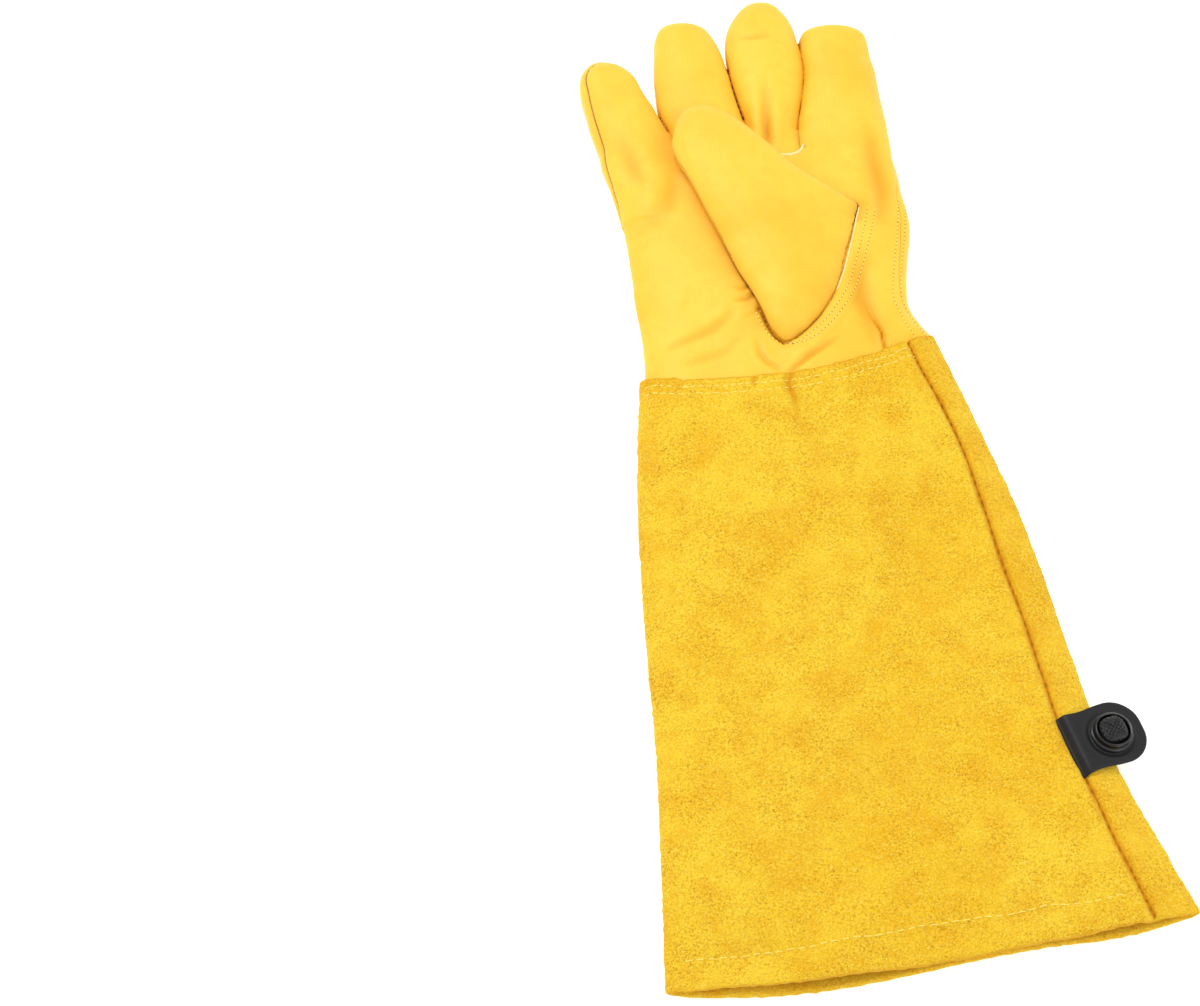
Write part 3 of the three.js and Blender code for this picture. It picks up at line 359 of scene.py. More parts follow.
def thumb_field(x, y, z):
    return -smooth_min(-thumb_tube(x, y, z), hand_field(x, y, z) - 0.3, 0.6)


# Meshes as arrays of points and faces
def surface_of(field, low, high, step):
    """Points and quads where a field is zero, one point in each cell of a grid that it passes."""
    axes = [np.arange(a, b + step, step) for a, b in zip(low, high)]
    values = field(axes[0][:, None, None], axes[1][None, :, None], axes[2][None, None, :])
    count = values.shape
    cells = tuple(n - 1 for n in count)
    total = np.zeros(cells + (3,))
    hits = np.zeros(cells)
    crossings = []
    index = np.indices(count, dtype=float)
    for axis in range(3):
        b, c = (axis + 1) % 3, (axis + 2) % 3
        near = np.take(values, range(cells[axis]), axis)
        far = np.take(values, range(1, count[axis]), axis)
        crossing = (near < 0) != (far < 0)
        share = np.where(crossing, near / np.where(crossing, near - far, 1), 0)
        crossings.append((crossing, near < 0))
        for shift_b, shift_c in product((0, 1), repeat=2):
            part = [slice(None)] * 3
            part[b] = slice(shift_b, shift_b + cells[b])
            part[c] = slice(shift_c, shift_c + cells[c])
            part = tuple(part)
            hit = crossing[part]
            hits += hit
            for k in range(3):
                spot = np.take(index[k], range(cells[axis]), axis)[part]
                total[..., k] += hit * (spot + (share[part] if k == axis else 0))
    used = hits > 0
    number = np.full(cells, -1)
    number[used] = np.arange(used.sum())
    points = np.array(low) + step * total[used] / hits[used][:, None]
    faces = []
    for axis, (crossing, starts_inside) in enumerate(crossings):
        b, c = (axis + 1) % 3, (axis + 2) % 3
        inner = [slice(None)] * 3
        inner[b] = slice(1, cells[b])
        inner[c] = slice(1, cells[c])
        spots = np.argwhere(crossing[tuple(inner)])
        out = starts_inside[tuple(inner)][tuple(spots.T)]
        spots[:, b] += 1
        spots[:, c] += 1
        corners = []
        for shift_b, shift_c in ((1, 1), (0, 1), (0, 0), (1, 0)):
            at = spots.copy()
            at[:, b] -= shift_b
            at[:, c] -= shift_c
            corners.append(number[tuple(at.T)])
        quads = np.stack(corners, 1)
        faces.append(np.where(out[:, None], quads, quads[:, ::-1]))
    return points, np.concatenate(faces)


def settled(points, field, rounds, reach=0.05):
    """Points moved onto the place where a field is zero."""
    for _ in range(rounds):
        value = field(*points.T)
        slope = np.stack([
            (field(*(points + step).T) - field(*(points - step).T)) / (2 * reach)
            for step in np.eye(3) * reach
        ], 1)
        move = slope * (value / np.maximum((slope**2).sum(1), 0.2))[:, None]
        points = points - np.clip(move, -0.5, 0.5)
    return points


def gathered(numbers, values, count):
    """Sums of rows of values for each number."""
    return np.stack([np.bincount(numbers, values[:, k], count) for k in range(values.shape[1])], 1)


def relaxed(points, faces, rounds, amount):
    """Points drawn towards the middle of their neighbours."""
    start = faces.ravel()
    end = np.roll(faces, -1, axis=1).ravel()
    both = np.concatenate([start, end])
    other = np.concatenate([end, start])
    degree = np.maximum(np.bincount(both, minlength=len(points)), 1)[:, None]
    for _ in range(rounds):
        middle = gathered(both, points[other], len(points)) / degree
        points = points + (middle - points) * amount
    return points


def unit(rows):
    """Rows of numbers as directions of length one."""
    return rows / np.maximum(np.linalg.norm(rows, axis=1), 1e-9)[:, None]


def normals_of(points, faces):
    a, b, c = points[faces[:, 0]], points[faces[:, 1]], points[faces[:, 2]]
    flat = np.cross(b - a, c - a)
    if faces.shape[1] == 4:
        flat = np.cross(c - a, points[faces[:, 3]] - b)
    return unit(gathered(faces.ravel(), np.repeat(flat, faces.shape[1], 0), len(points)))


def triangles_of(points, quads):
    """Triangles from four-sided faces, cut along their shorter diagonals."""
    a, b, c, d = (points[quads[:, k]] for k in range(4))
    short = (np.linalg.norm(a - c, axis=1) <= np.linalg.norm(b - d, axis=1))[:, None]
    first = np.where(short, quads[:, [0, 1, 2]], quads[:, [0, 1, 3]])
    second = np.where(short, quads[:, [0, 2, 3]], quads[:, [1, 2, 3]])
    return np.concatenate([first, second])


def skin_of(field, low, high, step):
    """Even triangles where a field is zero."""
    points, quads = surface_of(field, low, high, step)
    points = settled(points, field, 3)
    points = settled(relaxed(points, quads, 2, 0.4), field, 2)
    return points, triangles_of(points, quads)


def cut_along(points, faces, field, snap=0.08):
    """Triangles divided where a field is zero, so that none crosses the line."""
    values = field(*points.T)
    values = np.where(np.abs(values) < snap, 0.0, values)
    side = np.sign(values)[faces]
    mixed = (side.min(1) < 0) & (side.max(1) > 0)
    kept = list(faces[~mixed])
    added = []
    known = {}

    def between(a, b):
        key = (min(a, b), max(a, b))
        if key not in known:
            share = values[a] / (values[a] - values[b])
            known[key] = len(points) + len(added)
            added.append(points[a] + (points[b] - points[a]) * share)
        return known[key]

    for face in faces[mixed]:
        turns = [np.roll(face, -k) for k in range(3)]
        zero = next((t for t in turns if values[t[0]] == 0), None)
        if zero is not None:
            a, b, c = zero
            p = between(b, c)
            kept += [(a, b, p), (a, p, c)]
            continue
        a, b, c = next(t for t in turns if values[t[1]] * values[t[2]] > 0)
        p, q = between(a, b), between(a, c)
        kept += [(a, p, q), (p, b, c), (p, c, q)]
    return np.concatenate([points, np.array(added).reshape(-1, 3)]), np.array(kept, int)


def rim_of(faces):
    """Edges that only one face has, in that face's direction."""
    start = faces.ravel()
    end = np.roll(faces, -1, axis=1).ravel()
    count = max(start.max(), end.max()) + 1
    there = start.astype(np.int64) * count + end
    back = end.astype(np.int64) * count + start
    alone = ~np.isin(there, back)
    return start[alone], end[alone]


def doubled(points, under, faces):
    """A closed mesh of a skin, the same skin on the points under it, and walls between their rims."""
    start, end = rim_of(faces)
    shift = len(points)
    walls = [np.stack([end, start, start + shift], 1), np.stack([end, start + shift, end + shift], 1)]
    return np.concatenate([points, under]), np.concatenate([faces, faces[:, ::-1] + shift, *walls])


def walled(points, faces):
    """A skin given the leather's thickness inwards, with its rim drawn back by a small gap."""
    on_rim = np.zeros(len(points), bool)
    on_rim[rim_of(faces)[0]] = True
    inward = unit(relaxed(points, faces, 1, 1.0) - points)
    points = points + np.where(on_rim[:, None], inward * SEAM_GAP, 0)
    normal = unit(relaxed(normals_of(points, faces), faces, 2, 0.5))
    return doubled(points, points - normal * LEATHER_WALL, faces)


def reached_along(line):
    """Length of a line of points up to each one."""
    return np.concatenate([[0], np.cumsum(np.linalg.norm(np.diff(line, axis=0), axis=1))])


def line_distance(x, y, line):
    """Distance to a line of points on the ground, and the share of its length at the nearest place."""
    corners = np.array(line, float)
    reached = reached_along(corners)
    best = np.full(np.shape(x), 1e9)
    nearest = np.zeros(np.shape(x))
    for k, (a, b) in enumerate(zip(corners[:-1], corners[1:])):
        way = b - a
        t = np.clip(((x - a[0]) * way[0] + (y - a[1]) * way[1]) / (way @ way), 0, 1)
        far = np.hypot(x - a[0] - way[0] * t, y - a[1] - way[1] * t)
        nearer = far < best
        best = np.where(nearer, far, best)
        nearest = np.where(nearer, reached[k] + t * (reached[k + 1] - reached[k]), nearest)
    return best, nearest / reached[-1]


def line_shade(distance, width):
    """Darkness beside a thin line."""
    return np.exp(-((distance / width) ** 2))


def crease_place(x, y, crease):
    """Distance to a crease in its own widths, and its strength at the nearest place along it."""
    far, share = line_distance(x, y, crease.line)
    even = np.clip(share, 0.01, 0.99) ** (math.log(0.5) / math.log(crease.peak))
    return far / crease.width, np.sin(math.pi * even) ** 0.7


def crease_depth(x, y, creases):
    """How far creases lower a surface. They fade at their ends, and the leather swells beside them."""
    depth = np.zeros(np.shape(x))
    for crease in creases:
        far, fade = crease_place(x, y, crease)
        depth += crease.depth * fade * (line_shade(far, 1) - 0.3 * line_shade(far - 2, 1))
    return depth


def crease_shade(x, y, creases):
    """Painted shade in creases: how much darker the leather is coloured there."""
    shade = np.zeros(np.shape(x))
    for crease in creases:
        far, fade = crease_place(x, y, crease)
        shade = np.maximum(shade, crease.shade * fade * line_shade(far, 0.9))
    return shade


def ripples(points, wavelength, seed, count=14):
    """Smooth uneven waves through space, about one high."""
    draw = np.random.default_rng(seed)
    way = unit(draw.normal(size=(count, 3)))
    pace = draw.uniform(0.6, 1.7, count) * 2 * math.pi / wavelength
    phase = draw.uniform(0, 2 * math.pi, count)
    return np.sin(points @ (way * pace[:, None]).T + phase).sum(1) / math.sqrt(count / 2)


# Materials
def linear(*screen):
    """A screen colour from 0 to 255 as the light it stands for."""
    light = [v / 255 / 12.92 if v <= 10 else ((v / 255 + 0.055) / 1.055) ** 2.4 for v in screen]
    return (*light, 1.0)


class Finish:
    """A material made of nodes."""

    def __init__(self, name, roughness, **sockets):
        self.material = bpy.data.materials.new(name)
        self.material.use_nodes = True
        self.tree = self.material.node_tree
        self.shader = self.tree.nodes["Principled BSDF"]
        self.shader.inputs["Roughness"].default_value = roughness
        for socket, value in sockets.items():
            self.shader.inputs[socket.replace("_", " ")].default_value = value
        self.place = self.tree.nodes.new("ShaderNodeTexCoord").outputs["Object"]

    def node(self, kind, inputs, **settings):
        node = self.tree.nodes.new(kind)
        for name, value in settings.items():
            setattr(node, name, value)
        for name, value in inputs.items():
            if isinstance(value, bpy.types.NodeSocket):
                self.tree.links.new(value, node.inputs[name])
            else:
                node.inputs[name].default_value = value
        return node

    def noise(self, size, detail=2.0, rough=0.5):
        """Noise whose features are about the given size in millimetres."""
        inputs = {"Vector": self.place, "Scale": 1 / (size * MM), "Detail": detail, "Roughness": rough}
        return self.node("ShaderNodeTexNoise", inputs).outputs["Fac"]

    def cells(self, size):
        inputs = {"Vector": self.place, "Scale": 1 / (size * MM), "Randomness": 1.0}
        return self.node("ShaderNodeTexVoronoi", inputs).outputs["Distance"]

    def ramp(self, value, low, high, start=0.0, end=1.0):
        inputs = {"Value": value, "From Min": low, "From Max": high, "To Min": start, "To Max": end}
        return self.node("ShaderNodeMapRange", inputs).outputs["Result"]

    def product(self, a, b):
        return self.node("ShaderNodeMath", {0: a, 1: b}, operation="MULTIPLY").outputs[0]

    def with_painted_shade(self, color, middle, deepest):
        """A colour with painted shade, which turns darker in two steps where a place lies in a crease or
        beside a seam.
        """
        deep = self.node("ShaderNodeAttribute", {}, attribute_name="painted_shade").outputs["Fac"]
        color = self.mix(self.ramp(deep, 0.0, 0.5), color, linear(*middle))
        return self.mix(self.ramp(deep, 0.5, 1.0), color, linear(*deepest))

    def mix(self, share, a, b):
        node = self.node("ShaderNodeMix", {}, data_type="RGBA")
        for socket, value in ((0, share), (6, a), (7, b)):
            if isinstance(value, bpy.types.NodeSocket):
                self.tree.links.new(value, node.inputs[socket])
            else:
                node.inputs[socket].default_value = value
        return node.outputs[2]

    def color(self, value):
        self.tree.links.new(value, self.shader.inputs["Base Color"])

    def bump(self, *layers):
        """Layers of relief: a height and the millimetres that it rises."""
        normal = None
        for height, rise in layers:
            inputs = {"Height": height, "Distance": rise * MM, "Strength": 1.0}
            if normal is not None:
                inputs["Normal"] = normal
            normal = self.node("ShaderNodeBump", inputs).outputs["Normal"]
        self.tree.links.new(normal, self.shader.inputs["Normal"])


def grain_leather():
    finish = Finish("grain_leather", 0.5, Specular_IOR_Level=0.4, Sheen_Weight=0.08, Sheen_Roughness=0.4)
    broad = finish.ramp(finish.noise(42, 3), 0.38, 0.66)
    color = finish.mix(broad, linear(252, 205, 62), linear(249, 194, 48))
    fine = finish.ramp(finish.noise(6, 4, 0.6), 0.42, 0.7, 0, 0.3)
    color = finish.mix(fine, color, linear(246, 184, 40))
    # Painted shade: the leather turns orange, then dark brown, in creases, seams, gaps and beside the thumb.
    finish.color(finish.with_painted_shade(color, (228, 162, 14), (118, 58, 0)))
    pores = finish.ramp(finish.cells(0.9), 0.0, 0.5)
    finish.bump((finish.noise(3.2, 3), 0.12), (pores, 0.05), (finish.noise(0.35, 2), 0.03))
    return finish.material


def suede():
    finish = Finish("suede", 0.95, Specular_IOR_Level=0.15, Sheen_Weight=0.25, Sheen_Roughness=0.5,
                    Sheen_Tint=linear(255, 226, 130))
    broad = finish.ramp(finish.noise(55, 3), 0.4, 0.66)
    color = finish.mix(broad, linear(254, 214, 52), linear(249, 201, 36))
    patches = finish.ramp(finish.noise(13, 4, 0.6), 0.44, 0.7, 0, 0.7)
    color = finish.mix(patches, color, linear(241, 175, 18))
    nap = finish.noise(1.0, 4, 0.8)
    thick = finish.ramp(finish.noise(16, 3), 0.35, 0.65, 0.4, 1.0)
    fibres = finish.product(finish.ramp(nap, 0.44, 0.58), thick)
    color = finish.mix(finish.product(fibres, 0.88), color, linear(221, 155, 7))
    specks = finish.product(finish.ramp(nap, 0.56, 0.68), thick)
    color = finish.mix(finish.product(specks, 0.8), color, linear(158, 98, 0))
    light = finish.ramp(finish.noise(0.8, 4, 0.75), 0.52, 0.64, 0, 0.85)
    color = finish.mix(light, color, linear(255, 230, 96))
    # Painted shade: the suede turns orange, then dark olive brown, at its seam, in its pleats and inside its
    # mouth.
    finish.color(finish.with_painted_shade(color, (224, 154, 10), (84, 58, 8)))
    finish.bump((finish.noise(4.0, 3), 0.25), (nap, 0.44), (finish.noise(0.5, 3, 0.7), 0.1))
    return finish.material


def plain_finish(name, shade, roughness, size, rise, **sockets):
    finish = Finish(name, roughness, **sockets)
    worn = finish.ramp(finish.noise(size * 6, 3), 0.35, 0.7, 0, 0.3)
    finish.color(finish.mix(worn, linear(*shade), linear(*(min(255, v * 1.12 + 6) for v in shade))))
    finish.bump((finish.noise(size, 3, 0.6), rise))
    return finish.material


GRAIN = grain_leather()
SUEDE = suede()
CREAM = plain_finish("cream_edge", (246, 226, 156), 0.8, 0.6, 0.15)
THREAD = plain_finish("cream_thread", (255, 228, 112), 0.75, 0.25, 0.06)
YELLOW_THREAD = plain_finish("yellow_thread", (252, 222, 116), 0.7, 0.25, 0.05)
# Painted shade: dark brown strips sunk between stitches stand for the shade in needle holes.
HOLE_SHADE = plain_finish("needle_hole_shade", (150, 96, 18), 0.9, 0.3, 0.02)
BLACK_LEATHER = plain_finish("black_leather", (22, 22, 24), 0.48, 0.5, 0.06, Specular_IOR_Level=0.35)
BLACK_PLASTIC = plain_finish("black_plastic", (12, 12, 13), 0.22, 2.0, 0.01, Specular_IOR_Level=0.55)
BLACK_TAPE = plain_finish("black_tape", (34, 34, 36), 0.42, 0.3, 0.06)


def inside_out(points, faces):
    """True where a closed mesh's faces look inwards."""
    corner, follow, last = points[faces[:, 0]], points[faces[:, 1]], points[faces[:, 2]]
    return (np.cross(corner, follow) * last).sum() < 0


def piece(name, points, faces, material, slot, *nodes, painted_shade=None, sharp=50):
    """Makes an object of the part from points in millimetres."""
    if inside_out(points, faces):
        faces = faces[:, ::-1]
    mesh = bpy.data.meshes.new(name)
    mesh.from_pydata(((points + ORIGIN) * MM).tolist(), [], faces.tolist())
    # Painted shade per point, which darkens the colour in creases, seams and other places where shade falls.
    if painted_shade is not None:
        shade = mesh.attributes.new("painted_shade", "FLOAT", "POINT")
        shade.data.foreach_set("value", np.clip(painted_shade, 0, 1).astype(np.float32))
    mesh.validate()
    mesh.shade_smooth()
    mesh.set_sharp_from_angle(angle=math.radians(sharp))
    mesh.materials.append(material)
    thing = bpy.data.objects.new(name, mesh)
    bpy.context.scene.collection.objects.link(thing)
    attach(thing, "root")
    if nodes:
        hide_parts(*nodes)
    return thing


# Hand
def side_seam(x, y):
    """Height of the seam between back and front."""
    reach = SIDE_SEAM_REACH
    middle = read(SIDE_SEAM, "middle", y)
    to_left = 1 - smooth_step(x, reach["left"], reach["left_in"])
    to_right = smooth_step(x, reach["right_in"], reach["right"])
    left = to_left * (read(SIDE_SEAM, "left", y) - middle)
    return middle + left + to_right * (read(SIDE_SEAM, "right", y) - middle)


def gap_x(left, right, y):
    """The line up between two fingers."""
    return (read(left, "right", y) + read(right, "left", y)) / 2


def wrist_edge(x, y, z):
    """Distance past the edge that is tucked into the cuff."""
    return (x - WRIST_X) * DOWN[0] + (y - CUFF_LEFT_Y) * DOWN[1] - TUCK


SEAMS = {
    "side": lambda x, y, z: z - side_seam(x, y),
    "feet": lambda x, y, z: y - read(FINGER_FEET, "y", x),
    "ring_gap": lambda x, y, z: x - gap_x(PINKY, RING, y),
    "middle_gap": lambda x, y, z: x - gap_x(RING, MIDDLE, y),
    "index_gap": lambda x, y, z: x - gap_x(MIDDLE, INDEX, y),
}


def throat_field(x, y, z):
    """Below zero in the opening from the palm into the thumb."""
    across, along = thumb_place(x, y)
    left = read(THUMB, "left", along) + THROAT_RIM
    right = read(THUMB, "right", along) - THROAT_RIM
    beside = np.maximum(left - across, across - right)
    return np.maximum(beside, np.maximum(THROAT_START - along, along - THROAT_END))


def throat_side(x, y):
    """True outside the seam round the thumb's foot."""
    across, along = thumb_place(x, y)
    return (across > read(THUMB, "right", along) - 1.0) | (along < 2)


def on_feet(x, z):
    """True where the ring and middle fingers' fronts can be sewn to the palm's."""
    return (x > FEET_SPAN[0]) & (x < FEET_SPAN[1]) & (z > FINGERS_FRONT)


def hand_relief(points, normals):
    """How far each point of the hand moves out along its normal."""
    x, y, z = points.T
    up = np.clip(normals[:, 2] * 1.6, 0, 1)
    relief = -crease_depth(x, y, HAND_CREASES) * up
    relief += 0.22 * ripples(points, 38, 3) + 0.1 * ripples(points, 15, 4)
    side = SEAMS["side"](x, y, z)
    side_depth = np.where(x > FLAT_SEAM_X, 0.15, 0.9)
    relief -= side_depth * line_shade(side, 0.9) * (0.85 + 0.15 * np.sin(y * 2.4))
    relief += 0.25 * line_shade(np.abs(side) - 2.6, 1.4)
    relief -= np.where(on_feet(x, z), 0.9 * line_shade(SEAMS["feet"](x, y, z), 1.0), 0)
    seam, _ = line_distance(x, y, THUMB_SEAM)
    band = smooth_step(seam, 0.0, 1.0) * (1 - smooth_step(seam, 8.0, 10.5))
    relief += np.where(throat_side(x, y), 0.55 * band, 0) * up
    slit, _ = line_distance(x, y, THUMB_SLIT)
    return relief - (0.5 * line_shade(seam, 0.7) + 2.4 * line_shade(slit, 0.9)) * up


def hand_painted_shade(points, normals):
    """Painted shade on each point of the hand, where leather folds, meets or is sewn and beside the thumb.
    """
    x, y, z = points.T
    up = np.clip(normals[:, 2] * 1.6, 0, 1)
    slope = np.sqrt(np.maximum(1 - normals[:, 2] ** 2, 0.02))
    past_feet = SEAMS["feet"](x, y, z)
    over_thumb = np.maximum(thumb_tube(x, y, z), 0)
    across, along = thumb_place(x, y)
    # Painted shadow and contact shade on the hand around the thumb.
    contact_shade = np.maximum(np.exp(-over_thumb / 0.9), 0.45 * np.exp(-over_thumb / 4.0))
    contact_shade = np.where((across > 0) & (along < THROAT_END), 0.5 * np.exp(-over_thumb / 0.6), contact_shade)
    layers = [
        crease_shade(x, y, HAND_CREASES) * up,
        # Painted shadow lines in the side seam and in the seam across the fingers' feet.
        np.where(x > FLAT_SEAM_X, 0.1, 0.85) * line_shade(SEAMS["side"](x, y, z) / slope, 0.5),
        0.75 * line_shade(np.where(on_feet(x, z), past_feet, AWAY), 0.6),
        np.where(z > PALM_FRONT, contact_shade * smooth_step(along, 10, 20), 0),
        # Painted shadow in the seam round the thumb's foot and in the slit beside it.
        0.45 * line_shade(line_distance(x, y, THUMB_SEAM)[0], 0.4) * up,
        0.9 * line_shade(line_distance(x, y, THUMB_SLIT)[0], 0.55) * up,
    ]
    # Painted shadow in the gaps between the fingers, with softer painted shade beside them.
    for name in ("ring_gap", "middle_gap", "index_gap"):
        from_gap = np.where((past_feet > -1) & (z > 4), SEAMS[name](x, y, z), AWAY)
        layers += [0.6 * line_shade(from_gap, 0.6), 0.35 * line_shade(from_gap, 1.8)]
    return np.maximum.reduce(layers)


def leather_piece(name, points, faces, chosen, painted_shade):
    """A panel of the chosen faces, with the leather's thickness."""
    used, faces = np.unique(faces[chosen].ravel(), return_inverse=True)
    panel = walled(points[used], faces.reshape(-1, 3))
    piece(name + "_leather", *panel, GRAIN, "grain_leather", name, painted_shade=np.tile(painted_shade[used], 2))


def make_hand():
    points, faces = skin_of(hand_field, (-92, -40, -2), (76, 210, 30), HAND_GRID)
    for seam in (wrist_edge, *SEAMS.values(), throat_field):
        points, faces = cut_along(points, faces, seam)
    x, y, z = points[faces].mean(1).T
    side, past_feet, ring_gap, middle_gap, index_gap = (seam(x, y, z) for seam in SEAMS.values())
    inside = wrist_edge(x, y, z) < 0
    back = inside & (side < 0)
    front = inside & ~back
    fingers = front & (past_feet > 0) & (ring_gap > 0) & (index_gap < 0)
    ring = fingers & (middle_gap < 0)
    palm = front & ~fingers & ((throat_field(x, y, z) > 0) | (z < PALM_FRONT))
    normals = normals_of(points, faces)
    painted_shade = hand_painted_shade(points, normals)
    points = points + normals * hand_relief(points, normals)[:, None]
    points[:, 2] = np.maximum(points[:, 2], ON_FLOOR)
    leather_piece("back_panel", points, faces, back, painted_shade)
    leather_piece("palm_panel", points, faces, palm, painted_shade)
    leather_piece("ring_finger_front", points, faces, ring, painted_shade)
    leather_piece("middle_finger_front", points, faces, fingers & ~ring, painted_shade)
    return points, faces


def make_thumb():
    points, faces = skin_of(thumb_field, (-60, -8, 14), (48, 146, 42), THUMB_GRID)
    points, faces = cut_along(points, faces, over_thumb_seam)
    x, y, z = points[faces].mean(1).T
    over_throat = thumb_place(x, y)[1] < THROAT_END
    front = (over_thumb_seam(x, y, z) > 0) | over_throat
    resting = hand_field(x, y, z) < 0.5
    normals = normals_of(points, faces)
    x, y, z = points.T
    across, along = thumb_place(x, y)
    over_seam = over_thumb_seam(x, y, z)
    over_hand = hand_field(x, y, z)
    past_throat = along > THROAT_END
    relief = 0.2 * ripples(points, 30, 7) + 0.08 * ripples(points, 11, 8)
    relief -= 0.6 * line_shade(over_seam, 0.8) * past_throat
    relief *= smooth_step(over_hand, 0.3, 1.2)
    # Painted shade on the thumb where it turns down to the hand, weaker where its foot is sewn, and a
    # painted shadow along its side seam past the throat.
    sewn = smooth_step(across, -2, 6) * (1 - smooth_step(along, 50, 60))
    contact_shade = (0.72 - 0.5 * sewn) * np.exp(-np.maximum(over_hand - 0.3, 0) / 1.9)
    painted_shade = np.maximum(contact_shade, 0.7 * line_shade(over_seam, 0.45) * past_throat)
    points = points + normals * relief[:, None]
    leather_piece("thumb_front", points, faces, front & ~(resting & over_throat), painted_shade)
    leather_piece("thumb_back", points, faces, ~front, painted_shade)
    return points, faces


# Cuff
def cuff_height(c):
    """Share of its height that the cuff's section has at a place across."""
    return np.maximum(1 - np.abs(c) ** CUFF_END, 0) ** (1 / CUFF_FACE)


def seam_across(down):
    """The seam's place between the cuff's edges, which are at -1 and 1."""
    return 1 - 2 * read(CUFF, "seam", down) / read(CUFF, "width", down)


def cuff_point(down, c, upper, inset=0.0):
    """A point of the cuff: c across from -1 to 1, on its upper or lower layer, inset from the outside."""
    down, c, upper, inset = np.broadcast_arrays(down, c, upper, inset)
    left, width, top = (read(CUFF, name, down) for name in ("left", "width", "top"))
    bulge = CUFF_BULGE[0] + (CUFF_BULGE[1] - CUFF_BULGE[0]) * down / CUFF_LENGTH
    reach = (width / 2 - inset) * c
    s = np.where(upper, 1, -1) * cuff_height(c)
    share = (c + 1) / 2
    longer = (read(MOUTH, "upper", share) * (1 + s) + read(MOUTH, "lower", share) * (1 - s)) / 2
    sag = bulge * (1 - c * c) + longer * smooth_step(down, 180, CUFF_LENGTH)
    x = left + ACROSS[0] * (width / 2 + reach) + DOWN[0] * sag
    y = CUFF_LEFT_Y - down + ACROSS[1] * (width / 2 + reach) + DOWN[1] * sag
    z = inset - PRESSED * top + (top * (1 + PRESSED) - 2 * inset) * (s + 1) / 2
    here = np.stack([x.ravel(), y.ravel(), 0 * x.ravel()], 1)
    wave = (0.7 * ripples(here, 90, 11) + 0.3 * ripples(here, 34, 12)).reshape(x.shape)
    near_mouth = smooth_step(down, 225, CUFF_LENGTH)
    wave = wave + 0.9 * near_mouth * ripples(here, 60, 13).reshape(x.shape)
    z = z + np.maximum(s, 0) * (wave - crease_depth(x, y, CUFF_CREASES))
    outer = inset < OUTER
    from_seam = np.abs(c - seam_across(down)) * width / 2
    groove = np.where(outer, 2.1 * line_shade(from_seam, 1.1), 1.9 * line_shade(from_seam, 3.0))
    puff = 0.5 * line_shade(from_seam - 4.5, 2.6)
    z = z - np.where(upper, groove - puff, 0)
    for row, depth in zip(STITCH_ROWS, (0.35, 0.35, 0.45)):
        z = z - np.where(upper & outer, depth * line_shade(down - row, 0.9), 0)
    return np.stack([x, y, np.maximum(z, ON_FLOOR + inset)], -1)


def cuff_painted_shade(down, c, upper, inset):
    """Painted shade on each point of the cuff: beside its seam, in its pleats, under its upper edge and
    inside its mouth.
    """
    down, c, upper, inset = np.broadcast_arrays(down, c, upper, inset)
    from_seam = (c - seam_across(down)) * read(CUFF, "width", down) / 2
    # Painted shade on the strip beyond the seam, and a painted shadow line along the seam.
    beyond = np.where(from_seam > 0, 0.22 * np.exp(-from_seam / 3.5), 0)
    line = 0.95 * (0.8 + 0.2 * np.sin(down * 1.9)) * line_shade(from_seam - 0.3, 0.55)
    x, y, _ = np.moveaxis(cuff_point(down, c, upper, inset), -1, 0)
    deep = np.maximum.reduce([
        np.where(upper & (inset < OUTER), np.maximum(line, beyond), 0),
        np.where(upper, crease_shade(x, y, CUFF_CREASES), 0),
        # Painted shadow under the cuff's raw upper edge.
        0.4 * line_shade(down, 0.5),
    ])
    # Painted shade inside the cuff, darker on the upper layer's inside.
    return np.where(inset > INNER, np.where(upper, 0.3, 0.06), deep)


def cuff_columns(start, end, count):
    """Places across the cuff, evenly apart along its oval section."""
    dense = np.sin(np.linspace(math.asin(start), math.asin(end), 6000))
    half, high = CUFF_HALF
    reached = reached_along(np.stack([dense * half, cuff_height(dense) * high], 1))
    return np.interp(np.linspace(0, reached[-1], count), reached, dense)


def cuff_rings():
    """Distances down and insets of the mesh's rings: down the outside, round the mouth and up the inside."""
    hem = CUFF_LENGTH - HEM
    downs = (*np.arange(0, 20, 1.0), *np.linspace(20, 262, 122), *np.arange(263, 282, 1.0))
    rings = [(down, 0.0) for down in downs]
    for turn in np.linspace(0, math.pi, 9):
        rings.append((CUFF_LENGTH - HEM_LIP + HEM_LIP * math.sin(turn), HEM_LIP - HEM_LIP * math.cos(turn)))
    rings += [(down, 2 * HEM_LIP) for down in np.linspace(CUFF_LENGTH - 3, hem, 7)]
    rings += [(hem - 0.2, 1.4 * SUEDE_WALL), (hem - 0.4, SUEDE_WALL)]
    rings += [(down, SUEDE_WALL) for down in np.linspace(hem - 3, 0.6, 66)]
    rings += [(0.1, 0.8 * SUEDE_WALL), (-0.15, 0.5 * SUEDE_WALL), (0.0, 0.15 * SUEDE_WALL)]
    return np.array(rings).T[..., None]


